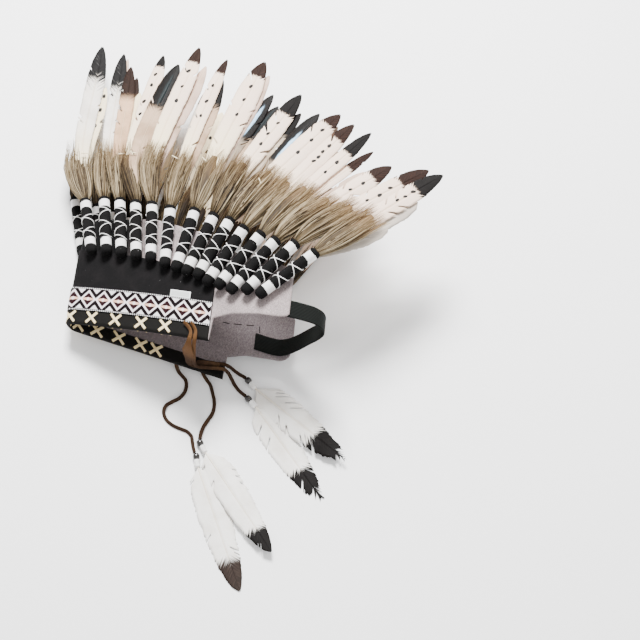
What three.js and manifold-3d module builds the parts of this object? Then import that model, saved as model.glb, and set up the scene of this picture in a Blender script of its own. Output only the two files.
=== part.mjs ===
// A feathered headdress lying on its far side: a felt head band with a woven trim, 28 wrapped
// sleeves that each carry a fur tuft and feathers, an elastic back strap and four suede laces
// with beads and drop feathers. Millimetres, +Z up. +X runs along the band from the forehead
// fold to the back, +Y runs up from the rim to the feather tips, and the surface is at z = 0.
import * as THREE from 'three';
import { mergeGeometries, mergeVertices } from 'three/addons/utils/BufferGeometryUtils.js';
import Module from 'manifold-3d';

const wasm = await Module();
wasm.setup();
const degrees = THREE.MathUtils.degToRad;

// ---- driving dimensions -------------------------------------------------------------------
const centreX = -144.86;        // what is taken off x and y so that the box stands on its centre
const centreY = 94.5;
const rimY = -78;             // the rim of the band
const foldX = -243;           // the forehead fold, at the rim
const slant = 0.27;           // how far the band leans forward for each millimetre of height
const farWallZ = 16;          // inner face of the far side of the band
const foldRadius = 6.5;
const nearSlopeStart = 25;    // slope of the near side just after the fold, in degrees
const nearSlopeEnd = 12;      // and at its back end
const nearEnd = 253;          // length of the near felt from the fold
const farEnd = 240;
const feltThickness = 2;
const layerGap = 0.3;
const panelEnd = 171;         // the forehead panel reaches this far on both sides
const panelThickness = 1.5;
const bindingHeight = 12.7;
const bindingThickness = 1.2;
const trimHeight = 25.5;
const trimThickness = 0.9;
const sleeveRadius = 5.8;
const sleeveBelow = 14;       // sleeve length below the foot mark and above it
const sleeveAbove = 59;
const sleeveLift = 10.2;      // sleeve axis above the inner face of the felt
const sleeveSides = 12;
const featherThickness = 1.2;
const laceRadius = 1.75;
const laceStep = 7.5;         // length of one straight stretch of a lace
const beadRadius = 3.5;
const beadLength = 6.5;
const collarRadius = 2.9;
const collarLength = 8;
const elasticHeight = 18;
const elasticThickness = 1.5;
const elasticLow = 41;        // height of the elastic's lower edge above the rim

// ---- materials ----------------------------------------------------------------------------
const finish = (color, roughness) => new THREE.MeshStandardMaterial({ color, roughness, metalness: 0 });
const greyFelt = finish('#b3aaa8', 0.95);
const blackFelt = finish('#191817', 0.95);
const wovenBand = finish('#d9c9c2', 0.8);
const blackBinding = finish('#141413', 0.85);
const whiteLabel = finish('#dcdcda', 0.6);
const blackElastic = finish('#1b1f1c', 0.8);
const plume = finish('#efe6de', 0.8);
const brownSuede = finish('#4a3325', 0.95);
const darkBead = finish('#1d1613', 0.25);
const whiteDrop = finish('#f1ede6', 0.8);

// ---- closed solids ------------------------------------------------------------------------
// Joins rings of equal count into one closed solid; the two end rings are capped.
function loft(rings) {
  const count = rings[0].length;
  const position = rings.flat().flatMap((p) => [p.x, p.y, p.z]);
  const index = [];
  for (let i = 0; i + 1 < rings.length; i++) {
    for (let j = 0; j < count; j++) {
      const a = i * count + j;
      const b = i * count + (j + 1) % count;
      index.push(a, b, b + count, a, b + count, a + count);
    }
  }
  for (const [ring, start, turned] of [[rings[0], 0, true], [rings.at(-1), (rings.length - 1) * count, false]]) {
    for (const face of capOf(ring)) {
      const [a, b, c] = face.map((k) => start + k);
      index.push(...(turned ? [a, c, b] : [a, b, c]));
    }
  }
  const geometry = new THREE.BufferGeometry();
  geometry.setAttribute('position', new THREE.Float32BufferAttribute(position, 3));
  geometry.setIndex(signedVolume(position, index) < 0 ? index.reverse() : index);
  return geometry;
}

// Triangles of a flat ring, numbered in its own order and turned the way the ring runs.
function capOf(ring) {
  const normal = new THREE.Vector3();
  ring.forEach((p, i) => normal.add(p.clone().cross(ring[(i + 1) % ring.length])));
  normal.normalize();
  const across = ring[1].clone().sub(ring[0]).normalize();
  const up = normal.clone().cross(across);
  const flat = ring.map((p) => new THREE.Vector2(p.dot(across), p.dot(up)));
  return THREE.ShapeUtils.triangulateShape(flat, []);
}

function signedVolume(position, index) {
  const corner = (k) => new THREE.Vector3(...position.slice(3 * index[k], 3 * index[k] + 3));
  let six = 0;
  for (let k = 0; k < index.length; k += 3) six += corner(k).dot(corner(k + 1).cross(corner(k + 2)));
  return six;
}

// Fuses closed geometries that overlap into one.
function fuse(...geometries) {
  const solids = geometries.map((source) => {
    const bare = source.clone();
    bare.deleteAttribute('normal');
    bare.deleteAttribute('uv');
    const merged = mergeVertices(bare, 1e-4);
    return new wasm.Manifold(new wasm.Mesh({
      numProp: 3,
      vertProperties: new Float32Array(merged.attributes.position.array),
      triVerts: new Uint32Array(merged.index.array),
    }));
  });
  const mesh = solids.reduce((sum, one) => sum.add(one)).getMesh();
  const geometry = new THREE.BufferGeometry();
  geometry.setAttribute('position', new THREE.BufferAttribute(mesh.vertProperties, 3));
  geometry.setIndex(new THREE.BufferAttribute(mesh.triVerts, 1));
  return geometry;
}

function mesh(name, geometry, material) {
  const piece = new THREE.Mesh(geometry, material);
  piece.name = name;
  return piece;
}

// ---- the head band's surface --------------------------------------------------------------
// The plan of the inner face, walked from the fold in 1 mm steps. u > 0 is the near side, which
// turns through the fold and climbs; u < 0 is the far side, which lies flat.
function walkPlan(length, headingAt) {
  const points = [{ x: foldX, z: farWallZ + foldRadius, heading: headingAt(0) }];
  for (let s = 0; s < length; s++) {
    const last = points[s];
    const heading = headingAt(s + 0.5);
    points.push({
      x: last.x + Math.cos(heading),
      z: last.z + Math.sin(heading),
      heading: headingAt(s + 1),
    });
  }
  return points;
}
const nearArc = foldRadius * degrees(90 - nearSlopeStart);
const farArc = foldRadius * degrees(90);
const nearPlan = walkPlan(nearEnd + 5, (s) => (s < nearArc
  ? degrees(90) - s / foldRadius
  : degrees(THREE.MathUtils.mapLinear(s, nearArc, nearEnd, nearSlopeStart, nearSlopeEnd))));
const farPlan = walkPlan(farEnd + 5, (s) => -degrees(90) + Math.min(s, farArc) / foldRadius);

function planAt(u) {
  const plan = u < 0 ? farPlan : nearPlan;
  const s = Math.abs(u);
  const k = Math.min(Math.floor(s), plan.length - 2);
  const mix = (key) => THREE.MathUtils.lerp(plan[k][key], plan[k + 1][key], s - k);
  const heading = mix('heading');
  const outward = u < 0 ? -1 : 1;
  return {
    x: mix('x'),
    z: mix('z'),
    heading,
    normalX: -Math.sin(heading) * outward,
    normalZ: Math.cos(heading) * outward,
  };
}

// A point of the band: a plan point, a distance out from the inner face and a height.
function bandPoint(plan, out, height) {
  return new THREE.Vector3(
    plan.x + plan.normalX * out - slant * height,
    rimY + height,
    plan.z + plan.normalZ * out,
  );
}

// Stations along the band: close together round the fold and wide apart elsewhere.
function stations(from, to, step = 15) {
  const fold = [-farArc, -0.5 * farArc, 0, 0.5 * nearArc, nearArc];
  const list = [from, ...fold.filter((u) => u > from && u < to), to];
  return list.flatMap((u, i) => {
    const parts = i ? Math.max(1, Math.round((u - list[i - 1]) / step)) : 1;
    return i ? Array.from({ length: parts }, (_, k) => THREE.MathUtils.lerp(list[i - 1], u, (k + 1) / parts)) : [u];
  });
}

// Sweeps a section, given as [out, height] corners at each u, along the band.
function bandSweep(from, to, sectionAt) {
  return loft(stations(from, to).map((u) => sectionAt(u).map(([out, height]) => bandPoint(planAt(u), out, height))));
}
const wall = (inner, outer, low, high) => [[inner, low], [outer, low], [outer, high], [inner, high]];

// A height along the band from a table of rows, with straight lines between them.
function heightFrom(rows, u, key) {
  const s = Math.abs(u);
  const k = Math.max(1, rows.findIndex((row) => row.along >= s));
  const [a, b] = [rows[k - 1], rows[k]];
  return THREE.MathUtils.mapLinear(s, a.along, b.along, a[key], b[key]);
}
const feltRows = [
  { along: 0, low: 0, high: 118 },
  { along: 90, low: 0, high: 126 },
  { along: 150, low: 0, high: 116 },
  { along: 171, low: 0, high: 104 },
  { along: 173, low: 24, high: 103 },
  { along: 192, low: 32, high: 99 },
  { along: 222, low: 37, high: 97 },
  { along: 256, low: 39, high: 92 },
];
const panelRows = [
  { along: 0, high: 84 },
  { along: 100, high: 78 },
  { along: 171, high: 59 },
];

function feltBase() {
  return bandSweep(-farEnd, nearEnd, (u) => wall(0, feltThickness, heightFrom(feltRows, u, 'low'), heightFrom(feltRows, u, 'high')));
}

const panelInner = feltThickness + layerGap;
const panelOuter = panelInner + panelThickness;
function frontPanel() {
  const low = bindingHeight + layerGap;
  return bandSweep(-panelEnd, panelEnd, (u) => wall(panelInner, panelOuter, low, heightFrom(panelRows, u, 'high')));
}

const trimLow = bindingHeight + 0.5;
const trimInner = panelOuter + layerGap;
const trimOuter = trimInner + trimThickness;
function wovenTrim() {
  return bandSweep(-panelEnd, panelEnd, () => wall(trimInner, trimOuter, trimLow, trimLow + trimHeight));
}

// The binding is folded round the rim: an outer leg, the turn and an inner leg.
function edgeBinding() {
  const outer = panelInner + bindingThickness;
  const inner = -layerGap - bindingThickness;
  const below = -layerGap - bindingThickness;
  return bandSweep(-panelEnd, panelEnd, () => [
    [outer, bindingHeight], [outer, below], [inner, below], [inner, bindingHeight],
    [-layerGap, bindingHeight], [-layerGap, -layerGap], [panelInner, -layerGap], [panelInner, bindingHeight],
  ]);
}

function label() {
  const low = trimLow + trimHeight + layerGap;
  return bandSweep(123, 146, () => wall(trimInner, trimInner + 0.7, low, low + 7.5));
}

// The elastic leaves the inner face of the near end, turns back at the nape and runs down to
// the inner face of the far end, as one flat strip on edge.
function elasticStrap() {
  const middle = -layerGap - elasticThickness / 2;
  const onWall = (u) => {
    const plan = planAt(u);
    return new THREE.Vector3(plan.x + plan.normalX * middle, 0, plan.z + plan.normalZ * middle);
  };
  const nape = [[7, 106.5], [18, 106.5], [26, 102], [28.5, 93], [24, 81], [13, 63], [0, 42], [-12, 26], [-21, 19]];
  const route = new THREE.CatmullRomCurve3([
    onWall(230), onWall(240), onWall(250),
    ...nape.map(([x, z]) => new THREE.Vector3(x, 0, z)),
    onWall(-215), onWall(-208), onWall(-200),
  ], false, 'centripetal');
  const steps = 40;
  const rings = Array.from({ length: steps + 1 }, (_, i) => {
    const point = route.getPointAt(i / steps);
    const along = route.getTangentAt(i / steps);
    const plan = { x: point.x, z: point.z, normalX: -along.z, normalZ: along.x };
    const half = elasticThickness / 2;
    return wall(-half, half, elasticLow, elasticLow + elasticHeight).map(([out, height]) => bandPoint(plan, out, height));
  });
  return loft(rings);
}

// ---- sleeves, fur and feathers ------------------------------------------------------------
// One row for each sleeve of the near side, from the forehead back: where its foot is along the
// band and above the rim, how the sleeve, its feather and its back feather lean (degrees,
// towards +X), how long the feathers reach past the sleeve, and how wide the feather is.
const quillRows = [
  { along: 20, height: 87, lean: -30, featherLean: -19, reach: 211, width: 18, backLean: -14, backReach: 169 },
  { along: 40, height: 88, lean: -26, featherLean: -18, reach: 199, width: 17, backLean: -15, backReach: 190 },
  { along: 59, height: 87, lean: -25, featherLean: -19, reach: 183, width: 18, backLean: -20, backReach: 152 },
  { along: 78, height: 85, lean: -24, featherLean: -15, reach: 201, width: 17, backLean: -9, backReach: 190 },
  { along: 96, height: 84, lean: -22, featherLean: -9, reach: 215, width: 20, backLean: -6, backReach: 196 },
  { along: 114, height: 80, lean: -18, featherLean: -5, reach: 201, width: 17, backLean: -3, backReach: 176 },
  { along: 130, height: 78, lean: -6, featherLean: -1, reach: 209, width: 24, backLean: 5, backReach: 181 },
  { along: 144, height: 75, lean: 2, featherLean: 9, reach: 181, width: 21, backLean: 13, backReach: 166 },
  { along: 158, height: 73, lean: 7, featherLean: 19, reach: 178, width: 22, backLean: 11, backReach: 172 },
  { along: 170, height: 67, lean: 12, featherLean: 20, reach: 175, width: 20, backLean: 16, backReach: 168 },
  { along: 184, height: 65, lean: 18, featherLean: 21, reach: 172, width: 20, backLean: 17, backReach: 150 },
  { along: 198, height: 62, lean: 21, featherLean: 30, reach: 151, width: 20, backLean: 22, backReach: 160 },
  { along: 215, height: 64, lean: 26, featherLean: 35, reach: 165, width: 21, backLean: 36, backReach: 133 },
  { along: 231, height: 62, lean: 34, featherLean: 33, reach: 166, width: 22, backLean: 39, backReach: 118 },
];

// A feather's outline: half its width, as a share of the full half width, along its length.
const vaneRows = [
  { along: 0, half: 0.12 },
  { along: 0.15, half: 0.5 },
  { along: 0.45, half: 0.9 },
  { along: 0.72, half: 1 },
  { along: 0.9, half: 0.66 },
  { along: 1, half: 0.1 },
];

// A flat vane from base along direction; face is the way its upper side looks.
function vane(base, direction, face, length, width, rows = vaneRows, thickness = featherThickness) {
  const across = direction.clone().cross(face).normalize();
  const up = across.clone().cross(direction).normalize();
  return loft(rows.map(({ along, half, left = half }) => {
    const middle = base.clone().addScaledVector(direction, along * length);
    return [[-left, -0.5], [half, -0.5], [half, 0.5], [-left, 0.5]].map(([side, level]) => middle.clone()
      .addScaledVector(across, side * width / 2)
      .addScaledVector(up, level * thickness));
  }));
}

// A tapered lock of fur: six-sided rings that swell and then close.
const lockRows = [
  { along: 0, size: 0.7 },
  { along: 0.45, size: 1 },
  { along: 1, size: 0.2 },
];
function furLock(base, direction, face, length, width, thickness) {
  const across = direction.clone().cross(face).normalize();
  const up = across.clone().cross(direction).normalize();
  return loft(lockRows.map(({ along, size }) => Array.from({ length: 6 }, (_, k) => base.clone()
    .addScaledVector(direction, along * length)
    .addScaledVector(across, Math.cos(k * Math.PI / 3) * size * width / 2)
    .addScaledVector(up, Math.sin(k * Math.PI / 3) * size * thickness / 2))));
}

// The sleeve is a twelve-sided rod that lies with a flat against the surface below it.
function sleeve(foot, direction, normal) {
  const across = direction.clone().cross(normal).normalize();
  const up = across.clone().cross(direction).normalize();
  const corner = sleeveRadius / Math.cos(Math.PI / sleeveSides);
  return loft([-sleeveBelow, sleeveAbove].map((at) => Array.from({ length: sleeveSides }, (_, k) => {
    const angle = (k + 0.5) * 2 * Math.PI / sleeveSides;
    return foot.clone()
      .addScaledVector(direction, at)
      .addScaledVector(across, Math.cos(angle) * corner)
      .addScaledVector(up, Math.sin(angle) * corner);
  })));
}

// The direction that leans by that angle in plan, with a rise for each millimetre.
function leaning(lean, rise) {
  return new THREE.Vector3(Math.sin(degrees(lean)), Math.cos(degrees(lean)), rise).normalize();
}

// A sleeve with its fur and feathers fused to its upper end. The two locks stand side by side.
const sleeveInset = 5;
function quill({ foot, sleeveDirection, normal, featherLean, reach, width, backLean, backReach, droop, lift, lock }) {
  const top = foot.clone().addScaledVector(sleeveDirection, sleeveAbove - sleeveInset);
  const face = new THREE.Vector3(0, 0, 1);
  const locks = [-1, 1].map((side) => furLock(
    top.clone().addScaledVector(leaning(featherLean + 90, 0), side * lock.apart),
    leaning(featherLean + lock.spread * side, -droop),
    face,
    60 - 4 * side,
    lock.width,
    9,
  ));
  const vaneRoot = top.clone().addScaledVector(face, lift);
  const backRoot = vaneRoot.clone().addScaledVector(face, -1);
  return fuse(
    sleeve(foot, sleeveDirection, normal),
    ...locks,
    vane(vaneRoot, leaning(featherLean, -droop), face, reach, width),
    vane(backRoot, leaning(backLean, -droop), face, backReach, width * 0.75, vaneRows, 1),
  );
}

function nearQuill(row) {
  const plan = planAt(row.along);
  const climb = Math.tan(plan.heading) * (Math.sin(degrees(row.lean)) + slant * Math.cos(degrees(row.lean)));
  return quill({
    ...row,
    foot: bandPoint(plan, sleeveLift, row.height),
    normal: new THREE.Vector3(plan.normalX, 0, plan.normalZ),
    sleeveDirection: leaning(row.lean, climb),
    droop: 0.02,
    lift: 0,
    lock: { apart: 2.8, spread: 3.8, width: 11.5 },
  });
}

// On the far side the quills lie flat and evenly spaced, with every second vane raised.
const farQuillStart = 4;
const farQuillPitch = 14.6;
const farReach = 0.84;        // the far feathers' reach, as a share of the near ones'
function farQuill(row, i) {
  const share = i / (quillRows.length - 1);
  const foot = bandPoint(planAt(-farQuillStart - farQuillPitch * i), sleeveLift, THREE.MathUtils.lerp(103, 72, share));
  foot.z = sleeveRadius;
  const featherLean = THREE.MathUtils.lerp(-19, 11, share);
  return quill({
    foot,
    normal: new THREE.Vector3(0, 0, 1),
    sleeveDirection: leaning(THREE.MathUtils.lerp(-30, 16, share), 0),
    featherLean,
    reach: row.reach * farReach,
    width: row.width * 0.9,
    backLean: featherLean + (i % 2 ? 4 : -4),
    backReach: row.backReach * farReach,
    droop: 0,
    lift: i % 2 ? 2.6 : -2.6,
    lock: { apart: 1.8, spread: 1.5, width: 7.8 },
  });
}

// ---- laces, beads and drop feathers -------------------------------------------------------
// Each lace leaves from under the trim, runs over or under the rim and lies on the surface.
const laceRoutes = {
  near_upper: [
    [-117.3, -66, 84.6], [-112, -69.5, 86], [-107, -74, 87.4], [-104.5, -80, 88.2], [-104, -84.2, 84.5],
    [-104.8, -85, 75], [-106.5, -83.5, 62], [-108.5, -81, 48], [-110, -78, 34], [-109.6, -75.5, 24.5],
    [-107, -73.4, 20.4], [-102, -71.6, 19.8], [-96, -69.6, 19.8], [-90, -67.8, 19.8], [-84, -66.2, 19.8],
    [-78.5, -65, 19.8], [-73.3, -64, 16], [-69, -63, 9], [-64.5, -62.6, 4.2], [-60, -63.2, 3.3],
    [-56.6, -64.3, 3.4],
  ],
  near_lower: [
    [-110, -65.6, 87], [-105.4, -69.6, 88.4], [-101.6, -74, 89.3], [-99.6, -80, 89.9], [-99, -84.4, 86.2],
    [-99.6, -85.4, 76], [-101, -84.4, 62], [-102.6, -82.6, 48], [-104, -80.6, 34], [-103.4, -78.4, 24.5],
    [-100.4, -76.6, 20.4], [-95, -74.7, 20], [-89, -73, 20], [-83, -71.4, 20], [-77.2, -70.6, 20.6],
    [-72.4, -70.8, 15.5], [-68.6, -72.4, 8.5], [-64.4, -75.2, 3.4], [-60, -78.2, 2.2], [-55.6, -80.6, 2.3],
    [-52, -82.2, 3.1], [-49, -83.6, 3.4],
  ],
  far_outer: [
    [-131, -67, 10.1], [-129.4, -71.5, 9.6], [-127, -76.5, 6.8], [-123.6, -80.2, 3.2], [-119.4, -82.7, 1.9],
    [-113.4, -86.4, 1.9], [-110, -92.4, 1.9], [-109, -100, 1.9], [-111.6, -108, 1.9], [-116.6, -114, 1.9],
    [-120.6, -119.6, 1.9], [-120.4, -127, 1.9], [-115, -134, 1.9], [-107, -137.8, 1.9], [-98, -139, 1.9],
    [-90, -139.6, 1.9], [-84, -143, 1.9], [-80.4, -149, 1.9], [-77, -154.6, 2.4], [-73.6, -159.2, 3.2],
  ],
  far_inner: [
    [-104, -66.5, 10.1], [-102.4, -70, 9.2], [-100, -73.2, 6.2], [-97, -76.2, 3], [-93, -79.2, 1.9],
    [-87.4, -83.6, 1.9], [-82, -91, 1.9], [-77.6, -98, 1.9], [-74.8, -105, 1.9], [-73.8, -113, 1.9],
    [-75.4, -121.6, 1.9], [-76.6, -130, 1.9], [-76.2, -137, 2.3], [-74.6, -143.6, 3.2],
  ],
};
function lace(route) {
  const path = new THREE.CatmullRomCurve3(route.map((p) => new THREE.Vector3(...p)), false, 'centripetal');
  const section = new THREE.Shape(Array.from({ length: 8 }, (_, k) => {
    const angle = (k + 0.5) * Math.PI / 4;
    return new THREE.Vector2(Math.cos(angle), Math.sin(angle)).multiplyScalar(laceRadius);
  }));
  const steps = Math.round(path.getLength() / laceStep);
  return new THREE.ExtrudeGeometry(section, { steps, extrudePath: path });
}

// A drop feather's two sides differ: left and half are the shares of half the width.
const dropRows = [
  { along: 0, half: 0.1, left: 0.1 },
  { along: 0.08, half: 0.3, left: 0.35 },
  { along: 0.25, half: 0.75, left: 0.95 },
  { along: 0.45, half: 1, left: 1.05 },
  { along: 0.7, half: 0.95, left: 0.8 },
  { along: 0.88, half: 0.75, left: 0.4 },
  { along: 1, half: 0.12, left: 0.1 },
];
// One row for each lace's end: the bead's middle, how the bead and the feather lean, the
// feather's size and how high the vane lies above the surface at its tip.
const dropRowsByLace = {
  near_upper: { bead: [-53.1, -66, 3.5], beadLean: 123, lean: 112, reach: 124, width: 32, tipZ: 8 },
  near_lower: { bead: [-45.6, -85.4, 3.5], beadLean: 118, lean: 126.5, reach: 122, width: 30, tipZ: 0.9 },
  far_outer: { bead: [-70.6, -162.6, 3.5], beadLean: 152, lean: 141, reach: 138, width: 30, tipZ: 0.9 },
  far_inner: { bead: [-72.6, -147.6, 3.5], beadLean: 132, lean: 128, reach: 129, width: 28, tipZ: 8 },
};

// Turns a part made round the Y axis so that the axis lies along the lean.
function laidAlong(geometry, middle, lean) {
  return geometry.rotateZ(-degrees(lean)).translate(...middle);
}
function bead({ bead: middle, beadLean }) {
  const profile = [-1, -0.7, 0.7, 1].map((share) => new THREE.Vector2(
    beadRadius * (Math.abs(share) === 1 ? 0.55 : 1),
    share * beadLength / 2,
  ));
  const closed = [new THREE.Vector2(0, -beadLength / 2), ...profile, new THREE.Vector2(0, beadLength / 2)];
  return laidAlong(new THREE.LatheGeometry(closed, 10), middle, beadLean);
}
function dropFeather({ bead: middle, beadLean, lean, reach, width, tipZ }) {
  const along = leaning(beadLean, 0);
  const start = new THREE.Vector3(...middle).addScaledVector(along, beadLength / 2 + 0.4);
  const collarMiddle = start.clone().addScaledVector(along, collarLength / 2);
  const collar = laidAlong(new THREE.CylinderGeometry(collarRadius, collarRadius, collarLength, 10), collarMiddle.toArray(), beadLean);
  const root = start.clone().addScaledVector(along, collarLength - 2);
  return fuse(collar, vane(root, leaning(lean, (tipZ - root.z) / reach), new THREE.Vector3(0, 0, 1), reach, width, dropRows));
}

// ---- the headdress ------------------------------------------------------------------------
const headdress = new THREE.Group();
headdress.position.set(-centreX, -centreY, 0);
headdress.add(
  mesh('felt_base', feltBase(), greyFelt),
  mesh('front_panel', frontPanel(), blackFelt),
  mesh('woven_trim', wovenTrim(), wovenBand),
  mesh('edge_binding', edgeBinding(), blackBinding),
  mesh('blank_label', label(), whiteLabel),
  mesh('elastic_strap', elasticStrap(), blackElastic),
);
quillRows.forEach((row, i) => {
  const number = String(i + 1).padStart(2, '0');
  headdress.add(mesh(`near_quill_${number}`, nearQuill(row), plume));
  headdress.add(mesh(`far_quill_${number}`, farQuill(row, i), plume));
});
for (const [name, route] of Object.entries(laceRoutes)) {
  const row = dropRowsByLace[name];
  headdress.add(mesh(`lace_${name}`, lace(route), brownSuede));
  headdress.add(mesh(`bead_${name}`, bead(row), darkBead));
  headdress.add(mesh(`drop_feather_${name}`, dropFeather(row), whiteDrop));
}

export default headdress;
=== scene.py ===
"""A feathered headdress lying on its far side on a pale floor: a felt head band with a woven
trim and a cross-stitched binding, 28 wrapped sleeves with fur and feathers, an elastic back
strap and four suede laces with beads and drop feathers. Metres, in the frame of the CAD part."""

import bmesh
import bpy
import numpy as np
from mathutils import Matrix, Vector


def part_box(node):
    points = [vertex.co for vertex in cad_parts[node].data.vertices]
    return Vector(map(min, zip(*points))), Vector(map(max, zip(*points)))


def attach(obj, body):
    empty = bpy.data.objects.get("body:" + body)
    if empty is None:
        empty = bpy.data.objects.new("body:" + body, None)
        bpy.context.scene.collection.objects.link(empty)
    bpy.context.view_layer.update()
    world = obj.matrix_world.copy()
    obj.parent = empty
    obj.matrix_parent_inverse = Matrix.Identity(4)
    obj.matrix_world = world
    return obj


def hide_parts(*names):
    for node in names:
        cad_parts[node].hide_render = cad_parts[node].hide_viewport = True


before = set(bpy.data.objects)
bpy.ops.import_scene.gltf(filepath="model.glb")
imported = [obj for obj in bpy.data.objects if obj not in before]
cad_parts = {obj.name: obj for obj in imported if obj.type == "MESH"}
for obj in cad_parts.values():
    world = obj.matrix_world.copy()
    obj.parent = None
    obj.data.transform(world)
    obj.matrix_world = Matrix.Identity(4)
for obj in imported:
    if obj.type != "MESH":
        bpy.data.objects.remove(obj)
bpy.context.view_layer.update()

# ---- camera ---------------------------------------------------------------------------------
# A long lens looks down at the headdress at sixty degrees, turned twenty degrees from its back,
# so that the fold of the band is on the left and the feather tips are at the top.
# Places are told from the rim and the forehead fold of the band, which the CAD part gives.
band_low = np.array(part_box("felt_base")[0])
slant = 0.27
felt_thickness = 0.002
fold_x = band_low[0] + felt_thickness + slant * 0.118
rim_y = band_low[1]
far_wall_z = band_low[2] + felt_thickness
mark = np.array([fold_x + 0.243, rim_y + 0.078, 0])
view_turn, view_height = np.radians(20), np.radians(60)
view_distance = 1.7
looked_at = mark + np.array([0, 0, 0.05])
table_right = np.array([np.cos(view_turn), np.sin(view_turn), 0])
table_up = np.array([-np.sin(view_turn), np.cos(view_turn), 0])
towards_camera = -np.cos(view_height) * table_up + np.sin(view_height) * np.array([0, 0, 1])
camera_up = np.cross(towards_camera, table_right)
camera_data = bpy.data.cameras.new("camera")
camera_data.sensor_width = 36
camera_data.lens = 36 * view_distance / 0.640
camera = bpy.data.objects.new("camera", camera_data)
turned = np.eye(4)
turned[:3, 0], turned[:3, 1], turned[:3, 2] = table_right, camera_up, towards_camera
turned[:3, 3] = looked_at + view_distance * towards_camera
camera.matrix_world = Matrix(turned.tolist())
bpy.context.scene.collection.objects.link(camera)
bpy.context.scene.camera = camera


# ---- suede laces ----------------------------------------------------------------------------
# Four flat brown suede laces. Each comes out from under the woven trim, runs over or under the
# rim and down to the table, and ends in a bead. They are cut from hide and lie free.
class Wire:
    """A socket of a material. Sums, products and comparisons of wires add their Math nodes."""

    def __init__(self, tree, socket=None):
        self.tree, self.socket = tree, socket

    def node(self, kind, settings=None, inputs=None, output=0):
        """Adds a node: its settings first, then the value or link of each socket."""
        made = self.tree.nodes.new(kind)
        for key, value in (settings or {}).items():
            if key == "stops":
                ramp = made.color_ramp.elements
                while len(ramp) < len(value):
                    ramp.new(0.5)
                for element, (place, colour) in zip(ramp, value):
                    element.position, element.color = place, (*colour, 1)
            else:
                setattr(made, key, value)
        for key, value in (inputs or {}).items():
            if isinstance(value, Wire):
                self.tree.links.new(value.socket, made.inputs[key])
            elif isinstance(value, tuple) and made.inputs[key].type == "RGBA":
                made.inputs[key].default_value = (*value, 1)
            else:
                made.inputs[key].default_value = value
        return Wire(self.tree, made.outputs[output])

    def math(self, operation, *values):
        return self.node("ShaderNodeMath", {"operation": operation}, dict(enumerate(values)))

    def __add__(self, other):
        return self.math("ADD", self, other)

    def __sub__(self, other):
        return self.math("SUBTRACT", self, other)

    def __rsub__(self, other):
        return self.math("SUBTRACT", other, self)

    def __mul__(self, other):
        return self.math("MULTIPLY", self, other)

    def __truediv__(self, other):
        return self.math("DIVIDE", self, other)

    def __gt__(self, other):
        return self.math("GREATER_THAN", self, other)

    def __lt__(self, other):
        return self.math("LESS_THAN", self, other)

    __radd__, __rmul__ = __add__, __mul__

    def size(self):
        return self.math("ABSOLUTE", self)

    def step(self, low, high):
        """0 below low and 1 above high, with a smooth change between."""
        return self.node("ShaderNodeMapRange", {"interpolation_type": "SMOOTHSTEP"},
                         {0: self, 1: low, 2: high})

    def blend(self, share, first, second):
        return self.node("ShaderNodeMix", {"data_type": "RGBA"}, {0: share, 6: first, 7: second}, 2)

    def place(self):
        """The point on the piece, in metres."""
        return self.node("ShaderNodeTexCoord", output="Object")

    def flat(self):
        """The piece's own flat coordinates, two wires in millimetres."""
        uv = self.node("ShaderNodeUVMap", {"uv_map": "flat"})
        across = self.node("ShaderNodeSeparateXYZ", inputs={0: uv})
        along = self.node("ShaderNodeSeparateXYZ", inputs={0: uv}, output=1)
        return across, along

    def mark(self, name):
        return self.node("ShaderNodeAttribute", {"attribute_name": name}, output="Fac")

    def point(self, x, y, z=0.0):
        return self.node("ShaderNodeCombineXYZ", inputs={0: x, 1: y, 2: z})

    def stretch(self, x, y, z):
        """Object coordinates with each axis scaled."""
        return self.node("ShaderNodeMapping", inputs={"Vector": self.place(), "Scale": (x, y, z)})

    def noise(self, vector, scale, detail=3.0, roughness=0.55):
        return self.node("ShaderNodeTexNoise", inputs={
            "Vector": vector, "Scale": scale, "Detail": detail, "Roughness": roughness})

    def bump(self, height, strength, distance):
        return self.node("ShaderNodeBump", inputs={
            "Strength": strength, "Distance": distance, "Height": height})


def finish_of(name, paint, **constants):
    """A material: constants sit on the shader's own sockets and paint returns what varies."""
    material = bpy.data.materials.new(name)
    material.use_nodes = True
    tree = material.node_tree
    shader = tree.nodes["Principled BSDF"]
    for key, value in constants.items():
        shader.inputs[key.replace("_", " ").title().replace("Ior", "IOR")].default_value = value
    for key, wire in paint(Wire(tree)).items():
        tree.links.new(wire.socket, shader.inputs[key])
    return material


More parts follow.
